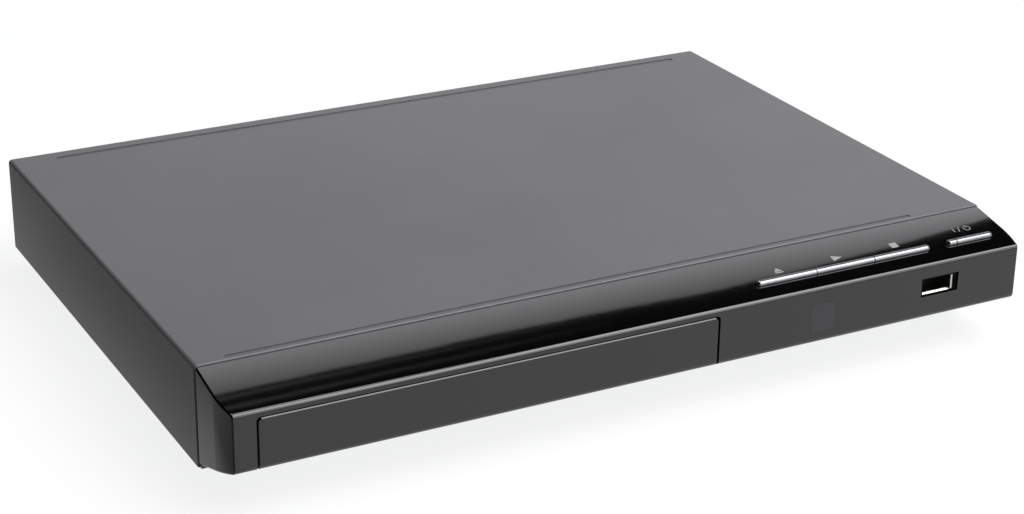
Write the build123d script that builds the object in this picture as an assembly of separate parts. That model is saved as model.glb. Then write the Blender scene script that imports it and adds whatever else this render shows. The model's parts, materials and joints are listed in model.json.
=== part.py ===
from build123d import *
import os
from math import acos, asin, cos, degrees, pi, radians, sin, tan

# Compact disc player with a motor-driven loading tray, in millimetres.
# X runs to the right seen from the front, the front faces -Y and Z is up.
# The origin is the centre of the outline, on the surface that the feet stand on.

# ---------------------------------------------------------------- case
case_width = 270.0
case_height = 38.5  # from the floor to the top cover
cover_depth = 176.0
cover_bottom_z = 6.9  # lower edge of the side walls above the floor
cover_sheet = 0.8
cover_fold_radius = 1.2
hem_depth = 4.0  # folded front edge, two sheets thick
hem_edge_radius = 0.5
rear_lip_height = 3.6
rear_tab_height = 7.4
rear_tab_width = 13.0
bead_depth = 0.3
cover_screw_inset = 16.0
cover_hole_clearance = 0.2
rear_bead_width = 2.4
rear_bead_behind = 5.6  # centre line ahead of the rear edge
rear_bead_left = 14.9
rear_bead_right = 12.6
front_bead_width = 1.8
front_bead_behind = 1.9  # centre line behind the front edge
front_bead_left = 9.6
front_bead_right = 26.0
foot_height = 6.1
foot_radius = 8.0
foot_taper = 0.8
foot_stem_radius = 2.4
foot_inset_x = 30.0
foot_inset_front = 16.0
foot_inset_rear = 22.0
pad_radius = 5.5
pad_height = 2.0
pad_recess = 1.0
chassis_sheet = 0.8
weld = 0.1  # how far the joined blocks of one piece run into each other
chassis_side_height = 15.0
chassis_front_height = 4.8
sheet_clearance = 0.25
rear_panel_sheet = 0.8
rear_panel_inset = 1.0  # outer face ahead of the cover's rear edge
jack_reach = 7.6  # jack shells behind the cover's rear edge

# ---------------------------------------------------------------- front bezel
bezel_reach = 23.4  # front face ahead of the cover's front edge
bezel_wall = 2.2
bezel_gap = 0.3  # to the cover's front edge
bezel_top_drop = 0.6  # below the cover's top where the sloping top starts
bezel_slope = 11.2
bezel_edge_radius = 1.5
bezel_face_drop = 23.2  # lower edge of the front face below the cover's top
bezel_lower_radius = 2.0
bezel_heel_rise = 0.9  # underside above the cover's lower edge at the rear
bezel_side_inset = 0.3
bezel_corner_inset = 1.6  # how far the sides curve in towards the front
bezel_corner_length = 10.0
bezel_corner_radius = 0.6
tab_width = 7.0
tab_sheet = 1.6
tab_clearance = 0.3
tab_catch = 1.5
tab_left_inset = 7.0
tab_door_gap = 7.4  # middle hook, right of the door
tab_right_inset = 12.0
door_edge = 0.3  # bevel round the door's outer face
door_boss_width_gap = 2.0  # boss narrower than the tray, each side
door_boss_rise = 0.6  # boss below the tray's underside
door_boss_height = 4.4
door_tray_gap = 1.2  # from the door's back to the tray
chassis_front_gap = 0.2
door_left = 8.8  # from the left side of the case
door_width = 148.0
door_top_drop = 7.1
door_gap = 0.45
door_corner_radius = 1.4
door_thickness = 2.6

# ---------------------------------------------------------------- buttons and front sockets
button_radius = 1.3
button_forward = 15.6  # centre line ahead of the cover's front edge
button_insets = (96.0, 74.4, 52.8, 31.2)  # ends of eject, play and stop, from the right side
plunger_insets = (85.2, 63.6, 45.6)
button_gap = 0.3
power_left_inset = 20.9
power_right_inset = 6.7
power_plunger_inset = 14.6
led_inset = 24.5
button_flange_width = 4.8
button_flange_height = 1.0
button_travel = 0.6
button_play = 0.25
plunger_radius = 1.5
plunger_length = 3.6
switch_size = 6.0
switch_height = 3.6
switch_cap_radius = 1.6
switch_cap_height = 0.8
switch_gap = 0.3  # left between cap and plunger at full travel
usb_inset = 32.0  # centre, from the right side
usb_drop = 12.9  # centre below the cover's top
usb_width = 13.1
usb_height = 5.7
usb_sheet = 0.35
usb_depth = 11.0
usb_margin = 0.5
usb_recess = 0.5  # mouth behind the front face
usb_tongue_width = 11.1
usb_tongue_height = 1.84
usb_tongue_recess = 4.6
window_inset = 75.9  # centre, from the right side
window_drop = 15.1
window_width = 9.0
window_height = 9.4
window_thickness = 1.8
window_corner_radius = 1.2
window_gap = 0.1
front_board_thickness = 1.2
front_board_behind = 11.9  # front face of the board behind the front face
front_board_left_inset = 97.0
front_board_right_inset = 4.0
front_board_drop = 8.5  # top edge below the cover's top
front_board_hang = 0.1  # bottom edge below the upright face

# ---------------------------------------------------------------- disc, tray and loader
disc_radius = 60.0
disc_thickness = 1.2
disc_clearance = 1.5
disc_centre_behind = 76.5  # disc axis behind the front face, tray closed
small_disc_radius = 40.8
small_disc_step = 0.6
tray_floor = 1.4
tray_rest_height = 22.4
tray_rim = 3.4
tray_border = 3.8  # from the disc recess to the tray's sides
tray_rear_border = 3.0
tray_wall = 1.6
tray_slot_half_width = 21.0
tray_slot_front_radius = 18.5
rail_depth = 1.6
rail_width = 1.6
rail_rear_gap = 2.0  # from the rails to the loader's rear end
rail_clearance = 0.2
tray_side_clearance = 0.5
tray_play = 0.3
loader_front_behind = 15.5  # behind the front face
loader_rear_gap = 14.1  # ahead of the rear panel
loader_wall = 2.7
loader_plate = 1.5
loader_plate_z = 11.9
loader_side_height = 29.2
loader_base_z = 7.9
ledge_thickness = 1.4
ledge_width = 2.4
ear_length = 10.0
ear_width = 6.5
ear_thickness = 2.0
ear_front_behind = 22.0  # front ears behind the loader's front end
ear_rear_ahead = 12.0
bridge_sheet = 0.8
bridge_half_depth = 17.0
bridge_flange = 3.0
bridge_hole_radius = 10.5

# ---------------------------------------------------------------- loading gear train
pressure_angle = radians(20.0)
tooth_addendum = 0.8
tooth_dedendum = 1.1
load_module = 0.8
load_backlash = 0.24
rack_side_gap = 0.3  # between the rack and the rail
rack_body = 5.2  # from the rack's back to its pitch line
rack_height = 2.8
rack_front_behind = 21.5  # behind the front face
rack_rear_gap = 2.0  # from the rack to the rails' rear end
drive_behind = 33.5  # drive gear axis behind the front face
drive_pinion_teeth = 18
drive_wheel_teeth = 32
pulley_pinion_teeth = 12
pulley_angle = -20.0  # direction from the drive gear
wheel_z = 14.0
wheel_height = 2.4
upper_z = 16.8
upper_height = 3.6
pulley_groove_radius = 7.8
pulley_rim_radius = 9.2
belt_size = 1.2
belt_clearance = 0.08
motor_x = 6.0  # from the loader's centre plane
motor_behind = 33.9  # behind the front face
motor_radius = 9.0
motor_height = 8.6
motor_bracket = 1.0
motor_groove_radius = 2.4
motor_rim_radius = 3.4
motor_shaft_radius = 1.0
motor_top_z = 16.2
motor_seat_gap = 0.2
post_radius = 1.45
post_clearance = 0.05

# ---------------------------------------------------------------- cam slider and traverse
tilt_drop = 8.6  # how far the front pins come down
cam_travel = 20.0
cam_thickness = 2.5
cam_pin_radius = 1.1
cam_pin_z = 18.2
cam_pin_x = 16.0
cam_pin_clearance = 0.35
cam_bottom_z = 7.3
cam_top_z = 20.6
cam_gap = 1.7  # between the traverse and the slider
cam_flange_gap = 0.2
cam_flange_height = 1.0
cam_flange_depth = 1.5
cam_hook_places = (-24.0, 20.0)
cam_hook_width = 4.0
cam_pin_recess = 0.4  # pin ends behind the slider's front face
traverse_plate = 1.2
traverse_top_z = 20.2
traverse_skirt = 3.6
traverse_skirt_wall = 1.5
traverse_left = -36.0
traverse_right = 48.0
traverse_front = 26.0  # ahead of the disc axis
pivot_behind = 84.0  # behind the disc axis
pivot_z = 17.0
pivot_rod_radius = 1.5
pivot_clearance = 0.05
pivot_ear = 5.0
pivot_lug = 5.0
pivot_lug_gap = 1.0
pivot_rod_inset = 1.5
seat_height = 26.0
turntable_radius = 13.5
turntable_thickness = 1.4
mat_thickness = 0.4
mat_width = 3.5
hub_radius = 7.35
hub_tip_radius = 6.0
hub_height = 1.8
rotor_radius = 12.4
rotor_height = 3.0
spindle_radius = 1.0
spindle_clearance = 0.03
stator_radius = 11.2
stator_height = 5.4
stator_plate = 1.0
stator_plate_half = 16.0
clamper_drop = 0.5  # puck below the top of a seated disc
clamper_radius = 12.0
clamper_puck = 2.1
clamper_neck_radius = 9.8
clamper_flange_radius = 14.0
clamper_flange = 1.2
clamper_recess_radius = 8.0
clamper_recess = 2.0
clamper_play = 0.2
yoke_radius = 8.0
yoke_thickness = 0.8

# ---------------------------------------------------------------- pickup and sled drive
lens_inner_radius = 23.0
pickup_travel = 35.5
pickup_front = 6.5
pickup_rear = 22.0
pickup_half_width = 19.5
pickup_bottom_z = 14.7
pickup_top_z = 20.4
actuator_width = 15.0
actuator_length = 12.0
actuator_height = 3.0
lens_radius = 3.0
lens_height = 0.6
rod_x = 26.0
rod_z = 16.9
rod_radius = 1.5
rod_clearance = 0.04
rod_front = 17.0
rod_rear = 82.0
rod_holder = 3.0
rod_holder_half = 2.2
rear_bearing_inset = 2.5  # rear rod bearing ahead of the pickup's rear face
bearing_half = 2.6
bearing_length = 6.0
bearing_drop = 1.9
sled_module = 0.5
sled_backlash = 0.2
sled_rack_x = 30.4
sled_gear_behind = 44.0  # sled gear axis behind the disc axis
sled_pinion_teeth = 16
sled_wheel_teeth = 40
motor_pinion_teeth = 12
sled_pinion_z = 15.6
sled_pinion_height = 2.4
sled_wheel_z = 13.6
sled_wheel_height = 1.4
sled_motor_radius = 6.0
sled_motor_height = 2.4
sled_motor_angle = 67.4  # direction from the sled gear
sled_shaft_radius = 0.8
sled_boss_radius = 2.6
sled_post_radius = 1.0

# ---------------------------------------------------------------- boards and rear sockets
board_thickness = 1.6
board_height = 6.0  # standoffs above the chassis floor
standoff_radius = 3.0
screw_radius = 1.5
screw_head_radius = 2.8
screw_head_height = 1.6
screw_length = 6.0
power_board_inset = 4.0  # from the right side
power_board_width = 32.0
power_board_length = 149.1
boards_gap = 2.5
main_board_width = 70.5
main_board_length = 77.1
board_rear_gap = 1.0
board_hole_inset = 4.0
board_hole_clearance = 0.1
main_screws_ahead = 12.0  # the rear screws stay clear of the sockets
power_screws_ahead = 30.0
hdmi_across = 19.0  # centre from the main board's left edge
hdmi_width = 14.6
hdmi_height = 5.6
hdmi_depth = 12.0
hdmi_sheet = 0.35
hdmi_tongue_width = 11.2
hdmi_tongue_height = 1.2
jack_pitch_x = 13.0
jack_lower_rise = 2.1  # lower row above the main board
jack_upper_drop = 9.3  # upper row below the cover's top
jack_across = 38.0  # first column from the main board's left edge
jack_column_count = 3
coax_across = 5.0
jack_root_radius = 3.8  # of the shells inside the block
jack_root_depth = 1.5  # shell roots ahead of the rear panel's outer face
jack_root_clearance = 0.02
jack_outer_radius = 4.15
jack_inner_radius = 3.4
jack_collar_radius = 5.2
jack_collar_height = 1.2
jack_core_radius = 3.3
jack_hole_radius = 1.6
jack_hole_depth = 5.2  # below the collar's face
jack_core_recess = 1.0
jack_step = 0.2  # the wide part of the shell starts this far behind the collar
jack_block_depth = 12.0
inlet_across = 15.0  # centre from the power board's left edge
inlet_rise = 7.5  # centre above the board
inlet_width = 15.6
inlet_height = 8.6
inlet_depth = 10.4
inlet_wall = 2.2
inlet_flange = 1.2
inlet_pin_radius = 1.2
inlet_pin_pitch = 8.6
inlet_pin_length = 8.0
cut_clearance = 0.3
vent_width = 2.4
vent_length = 16.0
vent_pitch = 6.0
floor_vents = 9
floor_vent_rows = (24.0, 60.0)  # behind the power board's front edge
floor_vent_inset = 22.0  # first vent from the right side
rear_vents = 14
rear_vent_rise = 9.0  # above the chassis floor
rear_vent_height = 9.6
panel_flange = 6.0  # foot of the rear panel, forward of its sheet
ribbon_thickness = 0.3
ribbon_width = 14.0
ribbon_across = 34.0  # from the main board's left edge
ribbon_drop = 8.0  # its front end below the front board's top edge
ribbon_rise = 2.5  # its low run above the main board
ribbon_step = 4.0  # it climbs this far before its rear end
ribbon_end_rise = 0.4
ribbon_runs = (14.0, 26.0)  # behind the front board
ribbon_climb = (-6.0, 4.0, 8.0)  # from the main board's front edge
ribbon_bend = 3.0
wire_radius = 0.7
harness_wires = 5
harness_pitch = 1.6
harness_bend = 5.0
harness_rise = 11.5
harness_along = 6.0  # from the main board's front edge
harness_lane = 78.0  # from the power board's front edge
harness_from_edge = 10.5  # inside the main board's right edge
harness_to_edge = 5.0  # inside the power board's left edge
# Parts on a board: across from its left edge, along from its front edge.
chips_at = (
    (30.0, 24.0, 20.0, 1.6), (56.0, 20.0, 10.0, 1.2), (54.0, 42.0, 8.0, 1.2), (10.0, 20.0, 9.0, 1.4)
)
main_capacitor_at = (14.0, 38.0, 3.2, 8.0)
power_capacitors_at = (
    (24.0, 13.0, 3.2, 12.0),
    (24.0, 21.0, 3.2, 12.0),
    (23.0, 31.0, 4.0, 14.0),
    (7.0, 90.0, 4.0, 14.0),
    (7.0, 100.0, 3.2, 11.0),
)
transformer_across = 14.0
transformer_along = 62.0
core_half_width = 11.0
core_half_length = 13.0
core_height = 14.0
core_notch_half = 6.5
winding_radius = 8.0
bulk_across = 9.0
bulk_along = 8.0
bulk_radius = 8.0
bulk_length = 28.0
sink_across = 17.0
sink_along = 82.0
sink_length = 30.0
sink_height = 18.0
sink_plate = 1.5
sink_reach = 7.0
sink_fins = 4
fuse_across = 28.6
fuse_along = 52.0
fuse_rise = 4.0
fuse_length = 20.0
fuse_radius = 2.6

# ---------------------------------------------------------------- derived places
half_width = case_width / 2
front_y = -(bezel_reach + cover_depth + jack_reach) / 2
cover_front_y = front_y + bezel_reach
cover_rear_y = cover_front_y + cover_depth
jack_tip_y = cover_rear_y + jack_reach
floor_z = foot_height + chassis_sheet
panel_rear_y = cover_rear_y - rear_panel_inset
panel_front_y = panel_rear_y - rear_panel_sheet
chassis_half = half_width - cover_sheet - sheet_clearance
cover_screw_places = (-half_width + cover_screw_inset, 0.0, half_width - cover_screw_inset)
cover_screw_z = case_height - rear_tab_height / 2 - cover_sheet / 2
slope = radians(bezel_slope)
bezel_rear_y = cover_front_y - bezel_gap
bezel_top_z = case_height - bezel_top_drop
face_bottom_z = case_height - bezel_face_drop
heel_z = cover_bottom_z + bezel_heel_rise
chassis_front_y = cover_front_y + chassis_front_gap
button_edges = [half_width - inset for inset in button_insets]
button_plungers = [half_width - inset for inset in plunger_insets]
power_left = half_width - power_left_inset
power_right = half_width - power_right_inset
power_plunger = half_width - power_plunger_inset
led_left = half_width - led_inset
usb_x = half_width - usb_inset
window_x = half_width - window_inset
front_board_left = half_width - front_board_left_inset
front_board_right = half_width - front_board_right_inset
front_board_top = case_height - front_board_drop
front_board_bottom = face_bottom_z - front_board_hang
door_x0 = -half_width + door_left
door_x1 = door_x0 + door_width
bezel_tab_places = (-half_width + tab_left_inset, door_x1 + tab_door_gap, half_width - tab_right_inset)
door_top_z = case_height - door_top_drop
door_back_y = front_y + door_thickness
loader_x = (door_x0 + door_x1) / 2
disc_y = front_y + disc_centre_behind
recess_radius = disc_radius + disc_clearance
tray_half = recess_radius + tray_border
tray_bottom_z = tray_rest_height - tray_floor
tray_top_z = tray_rest_height + tray_rim
tray_rear_y = disc_y + recess_radius + tray_rear_border
rail_bottom_z = tray_bottom_z - rail_depth
loader_front_y = front_y + loader_front_behind
loader_rear_y = panel_front_y - loader_rear_gap
rail_rear_y = loader_rear_y - rail_rear_gap
rack_front_y = front_y + rack_front_behind
rack_rear_y = rail_rear_y - rack_rear_gap
rack_root_x = -(tray_half - rail_width - rack_side_gap)
rack_pitch_x = rack_root_x + rack_body
drive_y = front_y + drive_behind
motor_y = front_y + motor_behind
loader_inner = tray_half + tray_side_clearance
loader_outer = loader_inner + loader_wall
ear_x = loader_outer + ear_width / 2
ear_places = [
    (sx * ear_x, y) for sx in (-1, 1) for y in (
        loader_front_y + ear_front_behind, loader_rear_y - ear_rear_ahead
    )
]
ledge_top_z = rail_bottom_z - rail_clearance
drive_x = rack_pitch_x + load_module * drive_pinion_teeth / 2
pulley_distance = load_module * (drive_wheel_teeth + pulley_pinion_teeth) / 2
pulley_x = drive_x + pulley_distance * cos(radians(pulley_angle))
pulley_y = drive_y + pulley_distance * sin(radians(pulley_angle))
belt_z = upper_z + upper_height / 2
loader_plate_top = loader_plate_z + loader_plate
bridge_z = loader_side_height
pivot_y = disc_y + pivot_behind
traverse_front_y = disc_y - traverse_front
cam_rear_y = traverse_front_y - cam_gap
cam_front_y = cam_rear_y - cam_thickness
cam_flange_z = loader_plate_top + cam_flange_gap
pivot_lug_left = (traverse_left - pivot_lug_gap - pivot_lug, traverse_left - pivot_lug_gap)
pivot_lug_right = (traverse_right + pivot_lug_gap, traverse_right + pivot_lug_gap + pivot_lug)
clamper_bottom_z = seat_height + disc_thickness - clamper_drop
traverse_under_z = traverse_top_z - traverse_plate
skirt_z = traverse_under_z - traverse_skirt
hub_z = seat_height + hub_height
rotor_top_z = seat_height - mat_thickness - turntable_thickness
rotor_z = rotor_top_z - rotor_height
stator_top_z = rotor_z - 0.3
lens_y = disc_y + lens_inner_radius
sled_x = sled_rack_x + sled_module * sled_pinion_teeth / 2
sled_y = disc_y + sled_gear_behind
sled_distance = sled_module * (sled_wheel_teeth + motor_pinion_teeth) / 2
sled_motor_x = sled_x + sled_distance * cos(radians(sled_motor_angle))
sled_motor_y = sled_y + sled_distance * sin(radians(sled_motor_angle))
sled_motor_z = traverse_under_z - sled_motor_height
board_z = floor_z + board_height
board_top_z = board_z + board_thickness
board_rear_y = panel_front_y - board_rear_gap
power_board_right = half_width - power_board_inset
power_board_left = power_board_right - power_board_width
power_board_front = board_rear_y - power_board_length
main_board_right = power_board_left - boards_gap
main_board_left = main_board_right - main_board_width
main_board_front = board_rear_y - main_board_length
hdmi_x = main_board_left + hdmi_across
coax_x = main_board_left + coax_across
jack_rows = (board_top_z + jack_lower_rise, case_height - jack_upper_drop)
jack_columns = [main_board_left + jack_across + i * jack_pitch_x for i in range(jack_column_count)]
jack_places = [(x, z) for x in jack_columns for z in jack_rows] + [(coax_x, jack_rows[0])]
jack_collar_y = panel_rear_y + jack_collar_height
inlet_x = power_board_left + inlet_across
inlet_z = board_top_z + inlet_rise
front_board_y = front_y + front_board_behind
usb_z = case_height - usb_drop
window_z = case_height - window_drop


# ---------------------------------------------------------------- shape helpers
def block(x0, x1, y0, y1, z0, z1):
    """A box between two corners."""
    return Pos((x0 + x1) / 2, (y0 + y1) / 2, (z0 + z1) / 2) * Box(x1 - x0, y1 - y0, z1 - z0)


def post(x, y, z0, z1, radius):
    """A cylinder along Z."""
    return Pos(x, y, (z0 + z1) / 2) * Cylinder(radius, z1 - z0)


def bar_y(x, z, y0, y1, radius):
    """A cylinder along Y."""
    return Pos(x, (y0 + y1) / 2, z) * Rot(90, 0, 0) * Cylinder(radius, y1 - y0)


def bar_x(y, z, x0, x1, radius):
    """A cylinder along X."""
    return Pos((x0 + x1) / 2, y, z) * Rot(0, 90, 0) * Cylinder(radius, x1 - x0)


def in_loader(shape):
    """Moves a piece drawn about the loader's centre plane to its place in the case."""
    return Pos(loader_x, 0, 0) * shape


def rounded_plate_y(x, z, width, height, y0, y1, radius):
    """A plate across Y with rounded corners."""
    face = Plane.XZ.offset(-y0) * Pos(x, z) * RectangleRounded(width, height, radius)
    return extrude(face, -(y1 - y0))


def outline_x(points, x0, x1):
    """A side outline of (y, z) points, drawn out along X."""
    return extrude(Plane.YZ.offset(x0) * make_face(Polyline(*points, close=True)), x1 - x0)


def gear(teeth, module, z0, z1, tooth_at, backlash):
    """An involute spur gear with the middle of one tooth at the angle tooth_at, in degrees."""
    pitch = module * teeth / 2
    base = pitch * cos(pressure_angle)
    tip = pitch + tooth_addendum * module
    root = pitch - tooth_dedendum * module
    involute = tan(pressure_angle) - pressure_angle
    half_at_pitch = (pi * module / 2 - backlash / 2) / (2 * pitch)
    flank_steps = 4
    flank = []
    for step in range(flank_steps + 1):
        radius = max(base, root) + (tip - max(base, root)) * step / flank_steps
        pressure = acos(min(1.0, base / radius))
        flank.append((radius, half_at_pitch + involute - (tan(pressure) - pressure)))
    side = [(root, flank[0][1])] + flank if root < base else flank
    points = []
    for tooth in range(teeth):
        middle = radians(tooth_at) + 2 * pi * tooth / teeth
        angles = [(r, middle - half) for r, half in side]
        angles += [(r, middle + half) for r, half in reversed(side)]
        points += [(r * cos(angle), r * sin(angle)) for r, angle in angles]
    return Pos(0, 0, z0) * extrude(make_face(Polyline(*points, close=True)), z1 - z0)


def rack_outline(pitch_line, back, start, end, gap_at, module, backlash):
    """A rack outline along Y, its teeth towards +X, with the middle of a gap at gap_at."""
    pitch = pi * module
    tip = pitch_line + tooth_addendum * module
    root = pitch_line - tooth_dedendum * module
    half = (pitch / 2 - backlash / 2) / 2
    half_tip = half - tooth_addendum * module * tan(pressure_angle)
    half_root = half + tooth_dedendum * module * tan(pressure_angle)
    first = int((start - gap_at + half_root) // pitch) + 1
    points = [(back, start), (root, start)]
    middle = gap_at + (first + 0.5) * pitch
    while middle + half_root < end:
        points += [(root, middle - half_root), (tip, middle - half_tip)]
        points += [(tip, middle + half_tip), (root, middle + half_root)]
        middle += pitch
    points += [(root, end), (back, end)]
    return make_face(Polyline(*points, close=True))


def on_slope(x, forward):
    """The plane that lies on the bezel's sloping top, its normal pointing out."""
    y = cover_front_y - forward
    z = bezel_top_z - (forward - bezel_gap) * tan(slope)
    return Plane(origin=(x, y, z), x_dir=(1, 0, 0), z_dir=(0, -sin(slope), cos(slope)))


def screw(location, length=screw_length):
    """A pan-head screw whose head stands on the given place and whose thread goes down from it."""
    head = Pos(0, 0, screw_head_height / 2) * Cylinder(screw_head_radius, screw_head_height)
    head = fillet(head.edges().group_by(Axis.Z)[-1], screw_head_height * 0.4)
    thread = Pos(0, 0, -length / 2) * Cylinder(screw_radius, length)
    cross_width = screw_head_radius * 0.25
    cross_length = screw_head_radius * 1.1
    cross_depth = screw_head_height * 0.5
    cross = Pos(0, 0, screw_head_height) * Box(cross_width, cross_length, 2 * cross_depth)
    cross += Pos(0, 0, screw_head_height) * Box(cross_length, cross_width, 2 * cross_depth)
    return location * (head + thread - cross)


# ---------------------------------------------------------------- case
def cover_profile(inset):
    """The cover's front view as a face, drawn in by inset."""
    half = half_width - inset
    top = case_height - inset
    face = Pos(0, (top + cover_bottom_z) / 2) * Rectangle(2 * half, top - cover_bottom_z)
    radius = max(cover_fold_radius - inset, cover_sheet / 4)
    return fillet(face.vertices().group_by(Axis.Y)[-1], radius)


def cover_slice(inset, y0, y1, below=0.0):
    """The cover's front view drawn out between two places along Y."""
    solid = Plane.XZ.offset(-y0) * extrude(cover_profile(inset), -(y1 - y0))
    if below:
        solid += block(
            -half_width + inset, half_width - inset, y0, y1, cover_bottom_z - below, cover_bottom_z + below
        )
    return solid


def bead(x0, x1, y, width):
    """A stadium-shaped groove pressed into the cover's top."""
    face = Pos((x0 + x1) / 2, y) * SlotOverall(x1 - x0, width)
    return Pos(0, 0, case_height - bead_depth) * extrude(face, 2 * bead_depth)


def make_top_cover():
    cover = cover_slice(0, cover_front_y, cover_rear_y)
    front_edge = cover.faces().sort_by(Axis.Y)[0].edges().filter_by(
        lambda e: e.center().Z > cover_bottom_z + 1
    )
    cover = fillet(front_edge, hem_edge_radius)
    hem_inset = 2 * cover_sheet
    inner_half = half_width - cover_sheet
    cover -= cover_slice(cover_sheet, cover_front_y - 1, cover_rear_y - cover_sheet, below=1.0)
    cover += block(
        -half_width + hem_inset,
        half_width - hem_inset,
        cover_front_y,
        cover_front_y + hem_depth,
        case_height - hem_inset,
        case_height - cover_sheet / 2,
    )
    lip_top = case_height - rear_lip_height
    lip_cut = block(
        -inner_half,
        inner_half,
        cover_rear_y - 2 * cover_sheet,
        cover_rear_y + 1,
        cover_bottom_z - 1,
        lip_top,
    )
    for x in cover_screw_places:
        lip_cut -= block(
            x - rear_tab_width / 2,
            x + rear_tab_width / 2,
            cover_rear_y - 2,
            cover_rear_y + 2,
            case_height - rear_tab_height,
            case_height,
        )
    cover -= lip_cut
    rear_bead_y = cover_rear_y - rear_bead_behind
    front_bead_y = cover_front_y + front_bead_behind
    cover -= bead(-half_width + rear_bead_left, half_width - rear_bead_right, rear_bead_y, rear_bead_width)
    cover -= bead(
        -half_width + front_bead_left, half_width - front_bead_right, front_bead_y, front_bead_width
    )
    for x in cover_screw_places:
        cover -= bar_y(
            x, cover_screw_z, cover_rear_y - 3, cover_rear_y + 1, screw_radius + cover_hole_clearance
        )
    return cover


def foot_places():
    """Centres of the four feet."""
    front = cover_front_y + foot_inset_front
    rear = cover_rear_y - foot_inset_rear
    return [(sx * (half_width - foot_inset_x), y) for sx in (-1, 1) for y in (front, rear)]


def board_screw_places(left, right, front, rear):
    """Screw places in the corners of a board."""
    return [
        (x, y)
        for x in (left + board_hole_inset, right - board_hole_inset)
        for y in (front + board_hole_inset, rear - board_hole_inset)
    ]


board_screws_at = [
    *board_screw_places(
        main_board_left, main_board_right, main_board_front, board_rear_y - main_screws_ahead
    ),
    *board_screw_places(
        power_board_left, power_board_right, power_board_front, board_rear_y - power_screws_ahead
    ),
]


def make_bottom_chassis():
    front = chassis_front_y
    rear = panel_front_y - sheet_clearance
    side_top = floor_z + chassis_side_height
    pan = block(-chassis_half, chassis_half, front, rear, foot_height, side_top)
    inner = chassis_half - chassis_sheet
    pan -= block(-inner, inner, front + chassis_sheet, rear + 1, floor_z, side_top + 1)
    pan -= block(
        -inner,
        inner,
        front - 1,
        front + chassis_sheet + 1,
        foot_height + chassis_front_height,
        side_top + 1,
    )
    for x, y in foot_places():
        pan -= post(x, y, foot_height - 1, floor_z + 1, foot_stem_radius + 0.1)
    for x, y in board_screws_at:
        pan += post(x, y, floor_z, board_z, standoff_radius)
        pan -= post(x, y, foot_height - 1, board_z + 1, screw_radius)
    for x, y in ear_places:
        pan += post(loader_x + x, y, floor_z, loader_base_z, standoff_radius)
        pan -= post(loader_x + x, y, foot_height - 1, loader_base_z + 1, screw_radius)
    for behind in floor_vent_rows:
        row_y = power_board_front + behind
        for i in range(floor_vents):
            x = half_width - floor_vent_inset - i * vent_pitch
            pan -= block(
                x - vent_width / 2,
                x + vent_width / 2,
                row_y,
                row_y + vent_length,
                foot_height - 1,
                floor_z + 1,
            )
    return pan


def make_feet():
    feet = Part()
    for x, y in foot_places():
        height = foot_height - pad_recess
        foot = Pos(x, y, pad_recess + height / 2) * Cone(foot_radius - foot_taper, foot_radius, height)
        foot -= post(x, y, pad_recess - 1, pad_height, pad_radius)
        foot += post(x, y, foot_height - 1, floor_z + 0.7, foot_stem_radius)
        feet += foot
    return feet


def make_foot_pads():
    pads = Part()
    for x, y in foot_places():
        pads += post(x, y, 0, pad_height, pad_radius)
    return pads


def make_rear_panel():
    half = half_width - cover_sheet - sheet_clearance - chassis_sheet - sheet_clearance
    top = case_height - cover_sheet - sheet_clearance
    panel = block(-half, half, panel_front_y, panel_rear_y, floor_z, top)
    panel += block(-half, half, panel_front_y - panel_flange, panel_front_y, floor_z, floor_z + rear_panel_sheet)
    hdmi_z = board_top_z + hdmi_height / 2
    cuts = [(hdmi_x, hdmi_z, hdmi_width, hdmi_height)]
    cuts.append((inlet_x, inlet_z, inlet_width + 2 * inlet_wall, inlet_height + 2 * inlet_wall))
    for x, z, width, height in cuts:
        grown_x = width / 2 + cut_clearance
        grown_z = height / 2 + cut_clearance
        panel -= block(
            x - grown_x, x + grown_x, panel_front_y - 1, panel_rear_y + 1, z - grown_z, z + grown_z
        )
    for x, z in jack_places:
        panel -= bar_y(x, z, panel_front_y - 1, panel_rear_y + 1, jack_collar_radius + cut_clearance)
    for i in range(rear_vents):
        x = loader_x - (rear_vents - 1) * vent_pitch / 2 + i * vent_pitch
        low = floor_z + rear_vent_rise
        panel -= block(
            x - vent_width / 2,
            x + vent_width / 2,
            panel_front_y - 1,
            panel_rear_y + 1,
            low,
            low + rear_vent_height,
        )
    for x in cover_screw_places:
        panel -= bar_y(x, cover_screw_z, panel_front_y - 1, panel_rear_y + 1, screw_radius)
    return panel


def make_cover_screws():
    screws = Part()
    for x in cover_screw_places:
        screws += screw(Pos(x, cover_rear_y, cover_screw_z) * Rot(-90, 0, 0))
    return screws


# ---------------------------------------------------------------- front bezel, door and window
def bezel_profile(inset, rear):
    """The bezel's side outline, drawn in by inset, from the front face to the place rear."""
    lower_slope = (face_bottom_z - heel_z) / (bezel_rear_y - front_y)
    lower_shift = inset * (1 + lower_slope**2) ** 0.5
    upper_shift = inset / cos(slope)
    face_y = front_y + inset
    top_rear = bezel_top_z - (bezel_rear_y - rear) * tan(slope) - upper_shift
    top_front = bezel_top_z - (bezel_rear_y - face_y) * tan(slope) - upper_shift
    low_rear = heel_z + (bezel_rear_y - rear) * lower_slope + lower_shift
    low_front = heel_z + (bezel_rear_y - face_y) * lower_slope + lower_shift
    outline = make_face(
        Polyline((rear, top_rear), (face_y, top_front), (face_y, low_front), (rear, low_rear), close=True)
    )
    front = outline.vertices().group_by(Axis.X)[0].sort_by(Axis.Y)
    outline = fillet(front[1], max(bezel_edge_radius - inset / 2, 0.3))
    front = outline.vertices().group_by(Axis.X)[0].sort_by(Axis.Y)
    return fillet(front[0], max(bezel_lower_radius - inset / 2, 0.3))


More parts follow.
